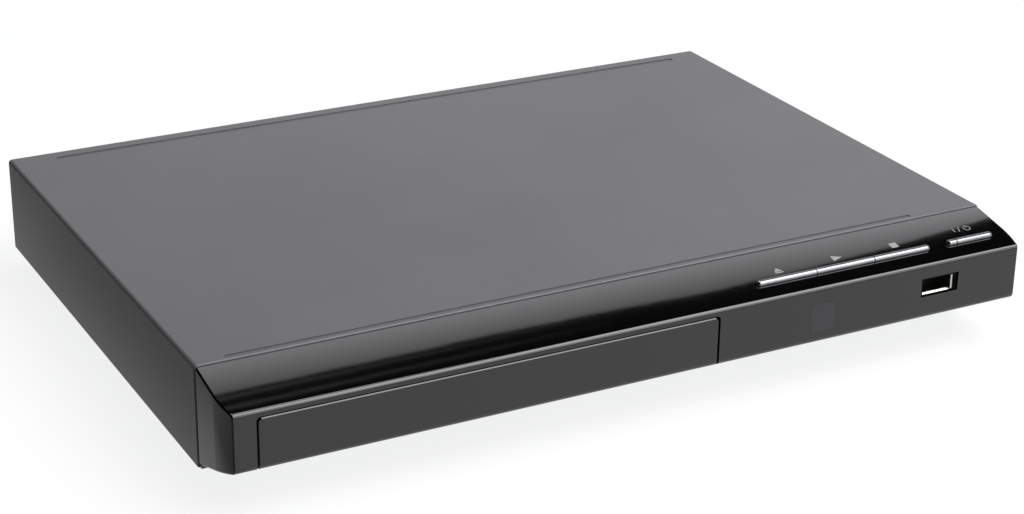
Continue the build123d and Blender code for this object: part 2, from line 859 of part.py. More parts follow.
def bezel_plan(inset):
    """The bezel seen from above, drawn in by inset."""
    side = half_width - bezel_side_inset - inset
    corner = side - bezel_corner_inset
    face_y = front_y + inset
    bend_y = front_y + bezel_corner_length
    middle = (side - bezel_corner_inset * 0.28, (bend_y + face_y) / 2)
    rear = cover_front_y + 1
    edges = [
        Line((-corner, face_y), (corner, face_y)),
        ThreePointArc((corner, face_y), middle, (side, bend_y)),
        Line((side, bend_y), (side, rear)),
        Line((side, rear), (-side, rear)),
        Line((-side, rear), (-side, bend_y)),
        ThreePointArc((-side, bend_y), (-middle[0], middle[1]), (-corner, face_y)),
    ]
    return make_face(edges)


def bezel_body(inset, rear):
    """The solid that the bezel's outline and plan have in common."""
    side_view = extrude(Plane.YZ.offset(-half_width) * bezel_profile(inset, rear), case_width)
    plan_view = extrude(bezel_plan(inset), case_height)
    return side_view & plan_view


def door_blank(gap):
    """The door's front outline as a block, grown by gap."""
    depth = door_thickness + gap
    width = door_width - 2 * door_gap + 2 * gap
    top = door_top_z - door_gap + gap
    low = face_bottom_z - 6
    face = Plane.XZ.offset(-(front_y - 1)) * Pos(loader_x, (top + low) / 2) * Rectangle(width, top - low)
    solid = extrude(face, -(depth + 1))
    upper = solid.edges().filter_by(Axis.Y).group_by(Axis.Z)[-1]
    return fillet(upper, door_corner_radius)


def make_front_bezel():
    bezel = bezel_body(0, bezel_rear_y)
    upright = bezel.edges().filter_by(Axis.Z).filter_by(lambda e: e.center().Y < front_y + 0.01)
    bezel = fillet(upright, bezel_corner_radius)
    bezel -= bezel_body(bezel_wall, bezel_rear_y + 1)
    bezel -= door_blank(door_gap)
    bezel -= rounded_plate_y(
        window_x,
        window_z,
        window_width + window_gap,
        window_height + window_gap,
        front_y - 1,
        front_y + 3,
        window_corner_radius,
    )
    usb_cut_x = usb_width / 2 + usb_margin
    usb_cut_z = usb_height / 2 + usb_margin / 2
    bezel -= block(
        usb_x - usb_cut_x, usb_x + usb_cut_x, front_y - 1, front_y + 4, usb_z - usb_cut_z, usb_z + usb_cut_z
    )
    slot_width = 2 * (button_radius + button_play)
    for x0, x1 in ((button_edges[0], button_edges[-1]), (led_left, power_right)):
        length = x1 - x0 + 2 * button_play
        face = SlotOverall(length, slot_width)
        slot = Pos(0, 0, -2 * bezel_wall) * extrude(face, 4 * bezel_wall)
        bezel -= on_slope((x0 + x1) / 2, button_forward).location * slot
    for x in bezel_tab_places:
        bezel += bezel_tab(x)
    return bezel


def bezel_tab(x):
    """A snap hook at the foot of the bezel that reaches over the chassis's front lip."""
    x0 = x - tab_width / 2
    x1 = x + tab_width / 2
    lip_top = foot_height + chassis_front_height
    low = lip_top + tab_clearance
    catch_y = chassis_front_y + chassis_sheet + tab_clearance
    rear = catch_y + tab_sheet
    stem_low = heel_z + bezel_wall / 2
    tab = block(x0, x1, bezel_rear_y - tab_sheet, bezel_rear_y, stem_low, low + tab_sheet)
    tab += block(x0, x1, bezel_rear_y - tab_sheet, rear, low, low + tab_sheet)
    tab += block(x0, x1, catch_y, rear, lip_top - tab_catch, low + tab_sheet)
    return tab


def make_tray_door():
    door = bezel_body(0, bezel_rear_y) & door_blank(0)
    outer_face = door.faces().filter_by(Axis.Y).sort_by(Axis.Y)[0]
    rim = outer_face.edges().filter_by(lambda e: e.center().Z > face_bottom_z + bezel_lower_radius)
    door = chamfer(rim, door_edge)
    half = tray_half - door_boss_width_gap
    low = tray_bottom_z - door_boss_rise
    rear = door_back_y + door_tray_gap
    return door + in_loader(block(-half, half, door_back_y - weld, rear, low, low + door_boss_height))


def make_ir_window():
    return rounded_plate_y(
        window_x,
        window_z,
        window_width,
        window_height,
        front_y,
        front_y + window_thickness,
        window_corner_radius,
    )


# ---------------------------------------------------------------- buttons and the front board
def bar_piece(x0, x1, round_left, round_right):
    """A half-round bar along X on the bezel's slope, with its web through the slot."""
    middle = (x0 + x1) / 2
    half = (x1 - x0) / 2
    left = -half + (button_radius if round_left else 0)
    right = half - (button_radius if round_right else 0)
    piece = Pos((left + right) / 2, 0, 0) * Rot(0, 90, 0) * Cylinder(button_radius, right - left)
    web_half = button_radius
    under = -(bezel_wall + 0.3)
    piece += block(left, right, -web_half, web_half, under, 0)
    for rounded, x in ((round_left, left), (round_right, right)):
        if rounded:
            piece += Pos(x, 0, 0) * Sphere(button_radius) + post(x, 0, under, 0, button_radius)
    flange = button_flange_width / 2
    piece += block(left, right, -flange, flange, under - button_flange_height, under)
    return middle, under - button_flange_height, piece


def make_button(x0, x1, plunger_x, round_left, round_right):
    middle, low, piece = bar_piece(x0, x1, round_left, round_right)
    piece += post(plunger_x - middle, 0, low - plunger_length, low, plunger_radius)
    return on_slope(middle, button_forward).location * piece


def make_led_lens():
    middle, low, piece = bar_piece(led_left, power_left - button_gap, True, False)
    piece += post(0, 0, low - 2.0, low, 1.2)
    return on_slope(middle, button_forward).location * piece


def plunger_tip(x):
    """Lowest point of a button's plunger at rest."""
    depth = bezel_wall + 0.3 + button_flange_height + plunger_length
    return (on_slope(x, button_forward).location * Pos(0, 0, -depth)).position


def make_tact_switches():
    switches = Part()
    for x in (*button_plungers, power_plunger):
        tip = plunger_tip(x)
        cap_top = tip.Z - button_travel - switch_gap
        body_top = cap_top - switch_cap_height
        half = switch_size / 2
        body = block(
            x - half,
            x + half,
            front_board_y - switch_size,
            front_board_y,
            body_top - switch_height,
            body_top,
        )
        body += post(x, tip.Y, body_top - 0.2, cap_top, switch_cap_radius)
        switches += body
    return switches


def make_front_board():
    board = block(
        front_board_left,
        front_board_right,
        front_board_y,
        front_board_y + front_board_thickness,
        front_board_bottom,
        front_board_top,
    )
    return board


def make_ir_receiver():
    receiver = block(
        window_x - 3.2, window_x + 3.2, front_board_y - 4.2, front_board_y, window_z - 3.5, window_z + 3.5
    )
    dome = Pos(window_x, front_board_y - 4.2, window_z) * Sphere(2.6)
    dome &= block(
        window_x - 3, window_x + 3, front_board_y - 8, front_board_y - 4, window_z - 3, window_z + 3
    )
    return receiver + dome


def make_usb_shell():
    mouth = front_y + usb_recess
    rear = mouth + usb_depth
    half_x = usb_width / 2
    half_z = usb_height / 2
    shell = block(usb_x - half_x, usb_x + half_x, mouth, rear, usb_z - half_z, usb_z + half_z)
    inner_x = half_x - usb_sheet
    inner_z = half_z - usb_sheet
    shell -= block(
        usb_x - inner_x, usb_x + inner_x, mouth - 1, rear - usb_sheet, usb_z - inner_z, usb_z + inner_z
    )
    return shell


def make_usb_tongue():
    mouth = front_y + usb_recess
    rear = mouth + usb_depth - usb_sheet
    top = usb_z + usb_height / 2 - usb_sheet
    half = usb_tongue_width / 2
    base_y = rear - 2.0
    base_half = usb_width / 2 - usb_sheet - 0.05
    tongue = block(
        usb_x - half,
        usb_x + half,
        front_y + usb_tongue_recess,
        rear,
        top - 0.4 - usb_tongue_height,
        top - 0.4,
    )
    tongue += block(
        usb_x - base_half,
        usb_x + base_half,
        base_y,
        rear,
        usb_z - usb_height / 2 + usb_sheet + 0.05,
        top - 0.05,
    )
    return tongue


# ---------------------------------------------------------------- tray and loader frame
def make_disc_tray():
    front = door_back_y + door_tray_gap
    tray = block(-tray_half, tray_half, front, tray_rear_y, tray_bottom_z, tray_top_z)
    tray = fillet(tray.edges().group_by(Axis.Z)[-1].group_by(Axis.Y)[0], 1.0)
    tray -= post(0, disc_y, tray_rest_height, tray_top_z + 1, recess_radius)
    tray -= post(0, disc_y, tray_rest_height - small_disc_step, tray_top_z, small_disc_radius)
    corner_pocket = block(
        -tray_half + tray_wall,
        tray_half - tray_wall,
        front + tray_wall,
        tray_rear_y - tray_wall,
        tray_bottom_z - 1,
        tray_top_z - tray_wall,
    )
    tray -= corner_pocket - post(0, disc_y, tray_bottom_z - 2, tray_top_z, recess_radius + tray_wall)
    for sx in (-1, 1):
        inner = tray_half - rail_width
        rail_x = sorted((sx * inner, sx * tray_half))
        tray += block(*rail_x, front + 6, rail_rear_y, rail_bottom_z, tray_bottom_z + 1)
        tray += block(*rail_x, tray_rear_y - 1, rail_rear_y, rail_bottom_z, tray_top_z)
        finger = Pos(sx * recess_radius, disc_y, 0) * Cylinder(9.0, 2 * tray_top_z)
        tray -= finger & block(
            -tray_half + 3, tray_half - 3, front, tray_rear_y, tray_rest_height, tray_top_z + 1
        )
    slot = post(0, disc_y, tray_bottom_z - 1, tray_top_z + 1, tray_slot_front_radius)
    slot += block(
        -tray_slot_half_width,
        tray_slot_half_width,
        disc_y,
        tray_rear_y + 1,
        tray_bottom_z - 1,
        tray_top_z + 1,
    )
    tray -= slot
    outline = rack_outline(
        rack_pitch_x, rack_root_x, rack_front_y, rack_rear_y, drive_y, load_module, load_backlash
    )
    rack_bottom = tray_bottom_z - rack_height
    tray += Pos(0, 0, rack_bottom) * extrude(outline, rack_height)
    spine = block(
        -tray_half,
        rack_root_x + 1.6,
        tray_rear_y - 1,
        rack_rear_y,
        tray_bottom_z - weld,
        tray_bottom_z + tray_floor,
    )
    return in_loader(tray + spine)


def make_loader_frame():
    frame = Part()
    step_y = cover_front_y + 4.5
    for sx in (-1, 1):
        wall_x = sorted((sx * loader_inner, sx * loader_outer))
        frame += block(*wall_x, step_y, loader_rear_y, loader_base_z, loader_side_height)
        frame += block(*wall_x, loader_front_y, step_y, loader_plate_z + loader_plate, loader_side_height)
        ledge_x = sorted((sx * (loader_inner - ledge_width), sx * (loader_inner + 0.1)))
        frame += block(*ledge_x, loader_front_y, loader_rear_y, ledge_top_z - ledge_thickness, ledge_top_z)
        lug_x = sorted((sx * (loader_inner - ledge_width), sx * (loader_inner + 0.1)))
        for y in (loader_front_y, disc_y + 22, loader_rear_y - 12):
            low = tray_top_z + tray_play
            frame += block(*lug_x, y, y + 8, low, low + ledge_thickness)
    frame += block(
        -loader_outer,
        loader_outer,
        loader_front_y + 3.5,
        cam_front_y - 0.3,
        loader_plate_z,
        loader_plate_top,
    )
    frame += block(
        -loader_outer, loader_outer, pivot_y + 4, loader_rear_y, loader_base_z, loader_base_z + loader_plate
    )
    frame += block(
        -loader_inner - weld,
        loader_inner + weld,
        loader_rear_y - loader_plate,
        loader_rear_y,
        loader_base_z,
        16.4,
    )
    for x, y in ear_places:
        inner = loader_outer - 0.1
        ear = sorted(((1 if x > 0 else -1) * inner, (1 if x > 0 else -1) * (loader_outer + ear_width)))
        frame += block(
            *ear, y - ear_length / 2, y + ear_length / 2, loader_base_z, loader_base_z + ear_thickness
        )
        frame -= post(
            x, y, loader_base_z - 1, loader_base_z + ear_thickness + 1, screw_radius + board_hole_clearance
        )
    for x0, x1 in (pivot_lug_left, pivot_lug_right):
        frame += block(x0, x1, pivot_y - 4, pivot_y + 5, loader_base_z, pivot_z + 3.4)
    frame -= pivot_rod()
    for x, y in ((drive_x, drive_y), (pulley_x, pulley_y)):
        frame += post(x, y, loader_plate_top - 0.2, wheel_z - 0.15, post_radius + 1.2)
        frame += post(x, y, loader_plate_top - 0.2, upper_z + upper_height + weld, post_radius)
    motor_seat = motor_radius + motor_seat_gap
    frame -= post(motor_x, motor_y, loader_plate_z - 1, loader_plate_top + 1, motor_seat)
    bracket_z = motor_top_z
    bracket = post(motor_x, motor_y, loader_plate_top - 0.2, bracket_z + motor_bracket, motor_seat + 1.4)
    bracket -= post(motor_x, motor_y, loader_plate_z, bracket_z, motor_seat)
    bracket -= post(motor_x, motor_y, bracket_z - 1, bracket_z + motor_bracket + 1, 3.0)
    frame += bracket
    for x in cam_hook_places:
        hook_z = cam_flange_z + cam_flange_height + 0.2
        right = x + cam_hook_width
        hook = block(x, right, cam_front_y - 2.6, cam_front_y - 1.8, loader_plate_top - weld, hook_z + 1.0)
        hook += block(x, right, cam_front_y - 2.6, cam_front_y - 0.5, hook_z, hook_z + 1.0)
        frame += hook
    return in_loader(frame)


def pivot_rod():
    """The rod that the traverse turns on, seated in blind holes in the two lugs."""
    left = pivot_lug_left[0] + pivot_rod_inset
    right = pivot_lug_right[1] - pivot_rod_inset
    return bar_x(pivot_y, pivot_z, left, right, pivot_rod_radius)


def make_pivot_rod():
    return in_loader(pivot_rod())


def make_clamp_bridge():
    bridge = block(
        -loader_outer,
        loader_outer,
        disc_y - bridge_half_depth,
        disc_y + bridge_half_depth,
        bridge_z,
        bridge_z + bridge_sheet,
    )
    for sy in (-1, 1):
        edge = sorted((sy * bridge_half_depth, sy * (bridge_half_depth - bridge_sheet)))
        bridge += block(
            -loader_outer + 6,
            loader_outer - 6,
            disc_y + edge[0],
            disc_y + edge[1],
            bridge_z,
            bridge_z + bridge_sheet + bridge_flange,
        )
    bridge += post(0, disc_y, bridge_z, bridge_z + bridge_sheet, clamper_flange_radius + 5)
    bridge -= post(0, disc_y, bridge_z - 1, bridge_z + bridge_sheet + 1, bridge_hole_radius)
    return in_loader(bridge)


def make_loader_screws():
    screws = Part()
    for x, y in ear_places:
        screws += screw(Pos(loader_x + x, y, loader_base_z + ear_thickness), length=4.0)
    for sx in (-1, 1):
        for sy in (-1, 1):
            x = loader_x + sx * (loader_outer - loader_wall / 2)
            seat = bridge_z + bridge_sheet
            small = Pos(x, disc_y + sy * 8.0, seat + 0.6) * Cylinder(2.2, 1.2)
            screws += small
    return screws


# ---------------------------------------------------------------- loading gears, motor and belt
def make_drive_gear():
    wheel = gear(
        drive_wheel_teeth, load_module, wheel_z, wheel_z + wheel_height, pulley_angle, load_backlash
    )
    pinion_z = wheel_z + wheel_height - 0.1
    pinion = gear(drive_pinion_teeth, load_module, pinion_z, upper_z + upper_height, 180.0, load_backlash)
    body = wheel + pinion
    body -= post(0, 0, wheel_z - 1, upper_z + upper_height + 1, post_radius + post_clearance)
    return in_loader(Pos(drive_x, drive_y, 0) * body)


def grooved_pulley(rim_radius, groove_radius, z0, z1):
    """A belt pulley with a flat-bottomed groove at the belt's height."""
    groove_half = belt_size / 2 + 0.15
    pulley = post(0, 0, z0, z1, rim_radius)
    ring = post(0, 0, belt_z - groove_half, belt_z + groove_half, rim_radius + 1)
    ring -= post(0, 0, belt_z - groove_half, belt_z + groove_half, groove_radius)
    return pulley - ring


def make_pulley_gear():
    gap_at = pulley_angle + 180.0
    tooth_at = gap_at + 180.0 / pulley_pinion_teeth
    pinion = gear(pulley_pinion_teeth, load_module, wheel_z, upper_z, tooth_at, load_backlash)
    body = pinion + grooved_pulley(
        pulley_rim_radius, pulley_groove_radius, upper_z - weld, upper_z + upper_height
    )
    body -= post(0, 0, wheel_z - 1, upper_z + upper_height + 1, post_radius + post_clearance)
    return in_loader(Pos(pulley_x, pulley_y, 0) * body)


def make_motor_pulley():
    body = grooved_pulley(
        motor_rim_radius, motor_groove_radius, motor_top_z + motor_bracket + 0.4, upper_z + upper_height
    )
    body += post(0, 0, motor_top_z - 3, upper_z + upper_height, motor_shaft_radius)
    return in_loader(Pos(motor_x, motor_y, 0) * body)


def make_loading_motor():
    can = post(0, 0, motor_top_z - motor_height, motor_top_z, motor_radius)
    can = fillet(can.edges().group_by(Axis.Z)[0], 0.8)
    boss = post(0, 0, motor_top_z - weld, motor_top_z + 0.8, 2.6)
    can = can + boss - post(0, 0, motor_top_z - 3.1, motor_top_z + 1, motor_shaft_radius + post_clearance)
    return in_loader(Pos(motor_x, motor_y, 0) * can)


def belt_loop(grow):
    """The outline round both pulley grooves, grown by grow."""
    large = Pos(pulley_x, pulley_y) * Circle(pulley_groove_radius + grow)
    small = Pos(motor_x, motor_y) * Circle(motor_groove_radius + grow)
    return make_hull(ShapeList(large.edges() + small.edges()))


def make_loading_belt():
    loop = belt_loop(belt_clearance + belt_size) - belt_loop(belt_clearance)
    return in_loader(Pos(0, 0, belt_z - belt_size / 2) * extrude(loop, belt_size))


# ---------------------------------------------------------------- cam slider and traverse
def make_cam_slider():
    left = -cam_pin_x - cam_travel - 2.6
    right = cam_pin_x + 4.0
    slider = block(left, right, cam_front_y, cam_rear_y, cam_bottom_z, cam_top_z)
    slot_half = cam_pin_radius + cam_pin_clearance
    for pin_x in (-cam_pin_x, cam_pin_x):
        top = (pin_x, cam_pin_z)
        low = (pin_x - cam_travel, cam_pin_z - tilt_drop)
        path = Line(top, low)
        reach = path.length
        slot_angle = degrees(asin(tilt_drop / reach))
        face = Pos(*path.position_at(0.5)) * Rot(0, 0, slot_angle) * SlotCenterToCenter(
            reach, 2 * slot_half
        )
        slider -= extrude(Plane.XZ.offset(-(cam_front_y - 1)) * face, -(cam_thickness + 2))
    slider += block(
        left,
        right,
        cam_front_y - cam_flange_depth,
        cam_front_y + weld,
        cam_flange_z,
        cam_flange_z + cam_flange_height,
    )
    return in_loader(slider)


def make_traverse_frame():
    rear = pivot_y + 3.2
    outer = block(traverse_left, traverse_right, traverse_front_y, rear, skirt_z, traverse_top_z)
    wall = traverse_skirt_wall
    frame = outer - block(
        traverse_left + wall,
        traverse_right - wall,
        traverse_front_y + wall,
        rear - wall,
        skirt_z - 1,
        traverse_under_z,
    )
    window_front = disc_y + lens_inner_radius - pickup_front - 1.2
    window_rear = lens_y + pickup_travel + pickup_rear + 1.2
    window_half = pickup_half_width + 1.2
    frame -= block(-window_half, window_half, window_front, window_rear, skirt_z, traverse_top_z + 1)
    frame -= post(0, disc_y, traverse_under_z - 1, traverse_top_z + 1, rotor_radius + 0.8)
    for pin_x in (-cam_pin_x, cam_pin_x):
        pin_y = cam_front_y + cam_pin_recess
        frame += bar_y(pin_x, cam_pin_z, pin_y, traverse_front_y + traverse_skirt_wall, cam_pin_radius)
    for x0, x1 in (
        (traverse_left, traverse_left + pivot_ear), (traverse_right - pivot_ear, traverse_right)
    ):
        frame += block(x0, x1, pivot_y - 3.2, rear, skirt_z, traverse_top_z)
    frame -= bar_x(
        pivot_y, pivot_z, traverse_left - 1, traverse_right + 1, pivot_rod_radius + pivot_clearance
    )
    half = rod_holder_half
    for sx in (-1, 1):
        x = sx * rod_x
        for y1 in (disc_y + rod_front, disc_y + rod_rear):
            frame += block(x - half, x + half, y1 - rod_holder, y1, rod_z - half, traverse_under_z + weld)
        frame -= guide_rod(sx)
    frame += post(sled_x, sled_y, sled_wheel_z - 0.2, traverse_under_z + weld, sled_post_radius)
    frame -= post(sled_motor_x, sled_motor_y, traverse_under_z - 1, traverse_top_z + 1, sled_boss_radius)
    return in_loader(frame)


def guide_rod(side):
    """One of the two rods that the pickup slides on, on the left (-1) or right (1)."""
    start = disc_y + rod_front - rod_holder / 2
    end = disc_y + rod_rear - rod_holder / 2
    return bar_y(side * rod_x, rod_z, start, end, rod_radius)


def make_guide_rods():
    return in_loader(Part() + guide_rod(-1) + guide_rod(1))


def make_spindle_motor():
    plate = block(
        -stator_plate_half,
        stator_plate_half,
        disc_y - stator_plate_half,
        disc_y + stator_plate_half - 2,
        traverse_under_z - stator_plate,
        traverse_under_z,
    )
    stator = post(0, disc_y, stator_top_z - stator_height, stator_top_z, stator_radius)
    bore = post(
        0, disc_y, stator_top_z - stator_height + 0.6, stator_top_z + 1, spindle_radius + spindle_clearance
    )
    window_front = disc_y + lens_inner_radius - pickup_front - 0.6
    trim = block(-20, 20, window_front, window_front + 20, 10, 22)
    return in_loader(plate + stator - bore - trim)


def make_spindle_rotor():
    rotor = post(0, disc_y, rotor_z, rotor_top_z, rotor_radius)
    rotor = fillet(rotor.edges().group_by(Axis.Z)[-1], 0.6)
    rotor += post(0, disc_y, stator_top_z - stator_height + 0.8, rotor_z + weld, spindle_radius)
    return in_loader(rotor)


def make_turntable():
    platter = post(0, disc_y, rotor_top_z, seat_height - mat_thickness, turntable_radius)
    hub_low = seat_height - mat_thickness
    mat_ring = post(0, disc_y, hub_low, seat_height, turntable_radius - 0.3)
    mat_ring -= post(0, disc_y, hub_low - 1, seat_height + 1, turntable_radius - mat_width)
    hub = Pos(0, disc_y, (hub_low + hub_z) / 2) * Cone(hub_radius, hub_tip_radius, hub_z - hub_low)
    return in_loader(platter + mat_ring + hub)


def make_clamper():
    flange_z = bridge_z + bridge_sheet + clamper_play
    puck_top = clamper_bottom_z + clamper_puck
    body = post(0, disc_y, clamper_bottom_z, puck_top, clamper_radius)
    body += post(0, disc_y, puck_top - weld, flange_z + weld, clamper_neck_radius)
    body += post(0, disc_y, flange_z, flange_z + clamper_flange, clamper_flange_radius)
    body -= post(0, disc_y, clamper_bottom_z - 1, clamper_bottom_z + clamper_recess, clamper_recess_radius)
    return in_loader(body)


def make_clamp_yoke():
    top = bridge_z + bridge_sheet + clamper_play + clamper_flange
    return in_loader(post(0, disc_y, top, top + yoke_thickness, yoke_radius))


def make_optical_pickup():
    y0 = lens_y - pickup_front
    y1 = lens_y + pickup_rear
    body = block(-pickup_half_width, pickup_half_width, y0, y1, pickup_bottom_z, pickup_top_z)
    ear_top = traverse_under_z - 0.3
    outer = rod_x + bearing_half
    inner = pickup_half_width - weld
    ear_low = rod_z - bearing_drop
    rear_bearing = y1 - rear_bearing_inset
    body += block(-outer, -inner, y0 + 1, y0 + 1 + bearing_length, ear_low, ear_top)
    body += block(-outer, -inner, rear_bearing - bearing_length, rear_bearing, ear_low, ear_top)
    body += block(inner, outer, lens_y + 4, lens_y + 12, ear_low, ear_top)
    body -= bar_y(-rod_x, rod_z, y0 - 1, y1 + 1, rod_radius + rod_clearance)
    body -= bar_y(rod_x, rod_z, y0 - 1, y1 + 1, rod_radius + rod_clearance)
    actuator = block(
        -actuator_width / 2,
        actuator_width / 2,
        lens_y - actuator_length / 2,
        lens_y + actuator_length / 2,
        pickup_top_z - weld,
        pickup_top_z + actuator_height,
    )
    rack_back = rod_x + bearing_half - 0.1
    rack_start = sled_y - pickup_travel - 3
    rack_end = sled_y + 3
    outline = rack_outline(sled_rack_x, rack_back, rack_start, rack_end, sled_y, sled_module, sled_backlash)
    arm_z = sled_pinion_z + 0.3
    rack = Pos(0, 0, arm_z) * extrude(outline, ear_top - arm_z)
    notch = post(0, disc_y, pickup_bottom_z - 1, pickup_top_z + 4, turntable_radius + 1.0)
    return in_loader(body + actuator + rack - notch)


def make_objective_lens():
    base = pickup_top_z + actuator_height
    lens = post(0, lens_y, base, base + lens_height, lens_radius)
    return in_loader(fillet(lens.edges().group_by(Axis.Z)[-1], 0.4))


def make_sled_gear():
    pinion_top = sled_pinion_z + sled_pinion_height
    pinion = gear(sled_pinion_teeth, sled_module, sled_pinion_z - 0.7, pinion_top, 180.0, sled_backlash)
    wheel_top = sled_wheel_z + sled_wheel_height
    wheel = gear(sled_wheel_teeth, sled_module, sled_wheel_z, wheel_top, sled_motor_angle, sled_backlash)
    body = pinion + wheel
    body -= post(0, 0, sled_wheel_z - 1, pinion_top + 1, sled_post_radius + post_clearance)
    return in_loader(Pos(sled_x, sled_y, 0) * body)


def make_sled_pinion():
    gap_at = sled_motor_angle + 180.0
    tooth_at = gap_at + 180.0 / motor_pinion_teeth
    top = sled_wheel_z + sled_wheel_height
    shaft_top = sled_motor_z + sled_motor_height - 0.4
    pinion = gear(motor_pinion_teeth, sled_module, sled_wheel_z, top, tooth_at, sled_backlash)
    pinion += post(0, 0, top - weld, shaft_top, sled_shaft_radius)
    return in_loader(Pos(sled_motor_x, sled_motor_y, 0) * pinion)


def make_sled_motor():
    can_top = sled_motor_z + sled_motor_height
    can = post(0, 0, sled_motor_z, can_top, sled_motor_radius)
    can -= post(0, 0, sled_motor_z - 1, can_top - 0.3, sled_shaft_radius + post_clearance)
    return in_loader(Pos(sled_motor_x, sled_motor_y, 0) * can)


# ---------------------------------------------------------------- boards and rear sockets
def board(left, right, front, rear, holes):
    """A circuit board with clearance holes for its screws."""
    plate = block(left, right, front, rear, board_z, board_top_z)
    for x, y in holes:
        plate -= post(x, y, board_z - 1, board_top_z + 1, screw_radius + board_hole_clearance)
    return plate


def make_main_board():
    return board(main_board_left, main_board_right, main_board_front, board_rear_y, board_screws_at[:4])


def make_power_board():
    return board(power_board_left, power_board_right, power_board_front, board_rear_y, board_screws_at[4:])


def make_board_screws():
    screws = Part()
    for x, y in board_screws_at:
        screws += screw(Pos(x, y, board_top_z))
    return screws


def make_main_chips():
    chips = Part()
    for across, along, size, height in chips_at:
        x = main_board_left + across
        y = main_board_front + along
        half = size / 2
        chips += block(x - half, x + half, y - half, y + half, board_top_z, board_top_z + height)
    return chips


def make_hdmi_socket():
    rear = panel_rear_y + 0.4
    front = rear - hdmi_depth
    half = hdmi_width / 2
    top = board_top_z + hdmi_height
    shell = block(hdmi_x - half, hdmi_x + half, front, rear, board_top_z, top)
    inner = half - hdmi_sheet
    low = board_top_z + hdmi_sheet
    cavity = [
        (hdmi_x - inner, top - hdmi_sheet),
        (hdmi_x + inner, top - hdmi_sheet),
        (hdmi_x + inner, low + 1.6),
        (hdmi_x + inner - 1.6, low),
        (hdmi_x - inner + 1.6, low),
        (hdmi_x - inner, low + 1.6),
    ]
    face = make_face(Polyline(*cavity, close=True))
    shell -= extrude(Plane.XZ.offset(-(front + 1.5)) * face, -hdmi_depth)
    tongue_half = hdmi_tongue_width / 2
    middle = board_top_z + hdmi_height / 2 + 0.4
    shell += block(
        hdmi_x - tongue_half,
        hdmi_x + tongue_half,
        front + 1.4,
        rear - 1.6,
        middle - hdmi_tongue_height / 2,
        middle + hdmi_tongue_height / 2,
    )
    return shell


def make_jack_block():
    front = panel_front_y - 0.3 - jack_block_depth
    rear = panel_front_y - 0.3
    margin = jack_pitch_x / 2 - 0.4
    top = jack_rows[1] + 5.4
    housing = block(jack_columns[0] - margin, jack_columns[-1] + margin, front, rear, board_top_z, top)
    housing += block(coax_x - margin, coax_x + margin, front, rear, board_top_z, jack_rows[0] + 5.4)
    root_y = panel_rear_y - jack_root_depth
    for x, z in jack_places:
        housing += bar_y(x, z, rear - weld, jack_collar_y, jack_collar_radius)
        housing += bar_y(x, z, panel_rear_y, jack_tip_y - jack_core_recess, jack_core_radius)
        seat = bar_y(x, z, root_y, jack_tip_y, jack_root_radius + jack_root_clearance)
        housing -= seat - bar_y(x, z, root_y - 1, jack_tip_y, jack_core_radius)
        housing -= bar_y(x, z, jack_collar_y - jack_hole_depth, jack_tip_y, jack_hole_radius)
    return housing


def make_jack_shells():
    shells = Part()
    root_y = panel_rear_y - jack_root_depth
    step_y = jack_collar_y + jack_step
    for x, z in jack_places:
        shell = bar_y(x, z, root_y, step_y + weld, jack_root_radius)
        shell += bar_y(x, z, step_y, jack_tip_y, jack_outer_radius)
        shells += shell - bar_y(x, z, root_y - 1, jack_tip_y + 1, jack_inner_radius)
    return shells


def make_mains_inlet():
    half_x = inlet_width / 2
    half_z = inlet_height / 2
    mouth = panel_rear_y + inlet_flange
    front = mouth - inlet_depth - inlet_wall
    body = block(
        inlet_x - half_x - inlet_wall,
        inlet_x + half_x + inlet_wall,
        front,
        mouth,
        inlet_z - half_z - inlet_wall,
        inlet_z + half_z + inlet_wall,
    )
    lip = 1.6
    body += block(
        inlet_x - half_x - inlet_wall - lip,
        inlet_x + half_x + inlet_wall + lip,
        panel_rear_y + 0.02,
        mouth,
        inlet_z - half_z - inlet_wall - lip,
        inlet_z + half_z + inlet_wall + lip,
    )
    face = Plane.XZ.offset(-(mouth - inlet_depth)) * Pos(inlet_x, inlet_z) * SlotOverall(
        inlet_width, inlet_height
    )
    body -= extrude(face, -(inlet_depth + 1))
    legs = block(inlet_x - 7, inlet_x + 7, front, front + 3, board_top_z, inlet_z - half_z)
    body += legs
    for sx in (-1, 1):
        body -= bar_y(inlet_x + sx * inlet_pin_pitch / 2, inlet_z, front - 1, mouth - 1, inlet_pin_radius)
    return body


def make_inlet_pins():
    pins = Part()
    back = panel_rear_y + inlet_flange - inlet_depth - inlet_wall
    tip = panel_rear_y + inlet_flange - inlet_depth + inlet_pin_length
    for sx in (-1, 1):
        pins += bar_y(inlet_x + sx * inlet_pin_pitch / 2, inlet_z, back, tip, inlet_pin_radius)
    return pins


def make_transformer():
    x = power_board_left + transformer_across
    y = power_board_front + transformer_along
    low = board_top_z + 3.0
    core = block(
        x - core_half_width,
        x + core_half_width,
        y - core_half_length,
        y + core_half_length,
        low,
        low + core_height,
    )
    for sy in (-1, 1):
        notch_y = y + sy * core_half_length
        core -= block(
            x - core_notch_half,
            x + core_notch_half,
            notch_y - 4,
            notch_y + 4,
            board_top_z,
            low + core_height + 1,
        )
    return core + post(x, y, board_top_z, low + core_height + 1.5, winding_radius)


def make_bulk_capacitor():
    start = power_board_front + bulk_along
    x = power_board_left + bulk_across
    can = bar_y(x, board_top_z + bulk_radius + 0.2, start, start + bulk_length, bulk_radius)
    return fillet(can.edges().group_by(Axis.Y)[0], 0.8)


def make_small_capacitors():
    group = Part()
    for across, along, radius, height in power_capacitors_at:
        x = power_board_left + across
        y = power_board_front + along
        group += post(x, y, board_top_z, board_top_z + height, radius)
    across, along, radius, height = main_capacitor_at
    x = main_board_left + across
    y = main_board_front + along
    return group + post(x, y, board_top_z, board_top_z + height, radius)


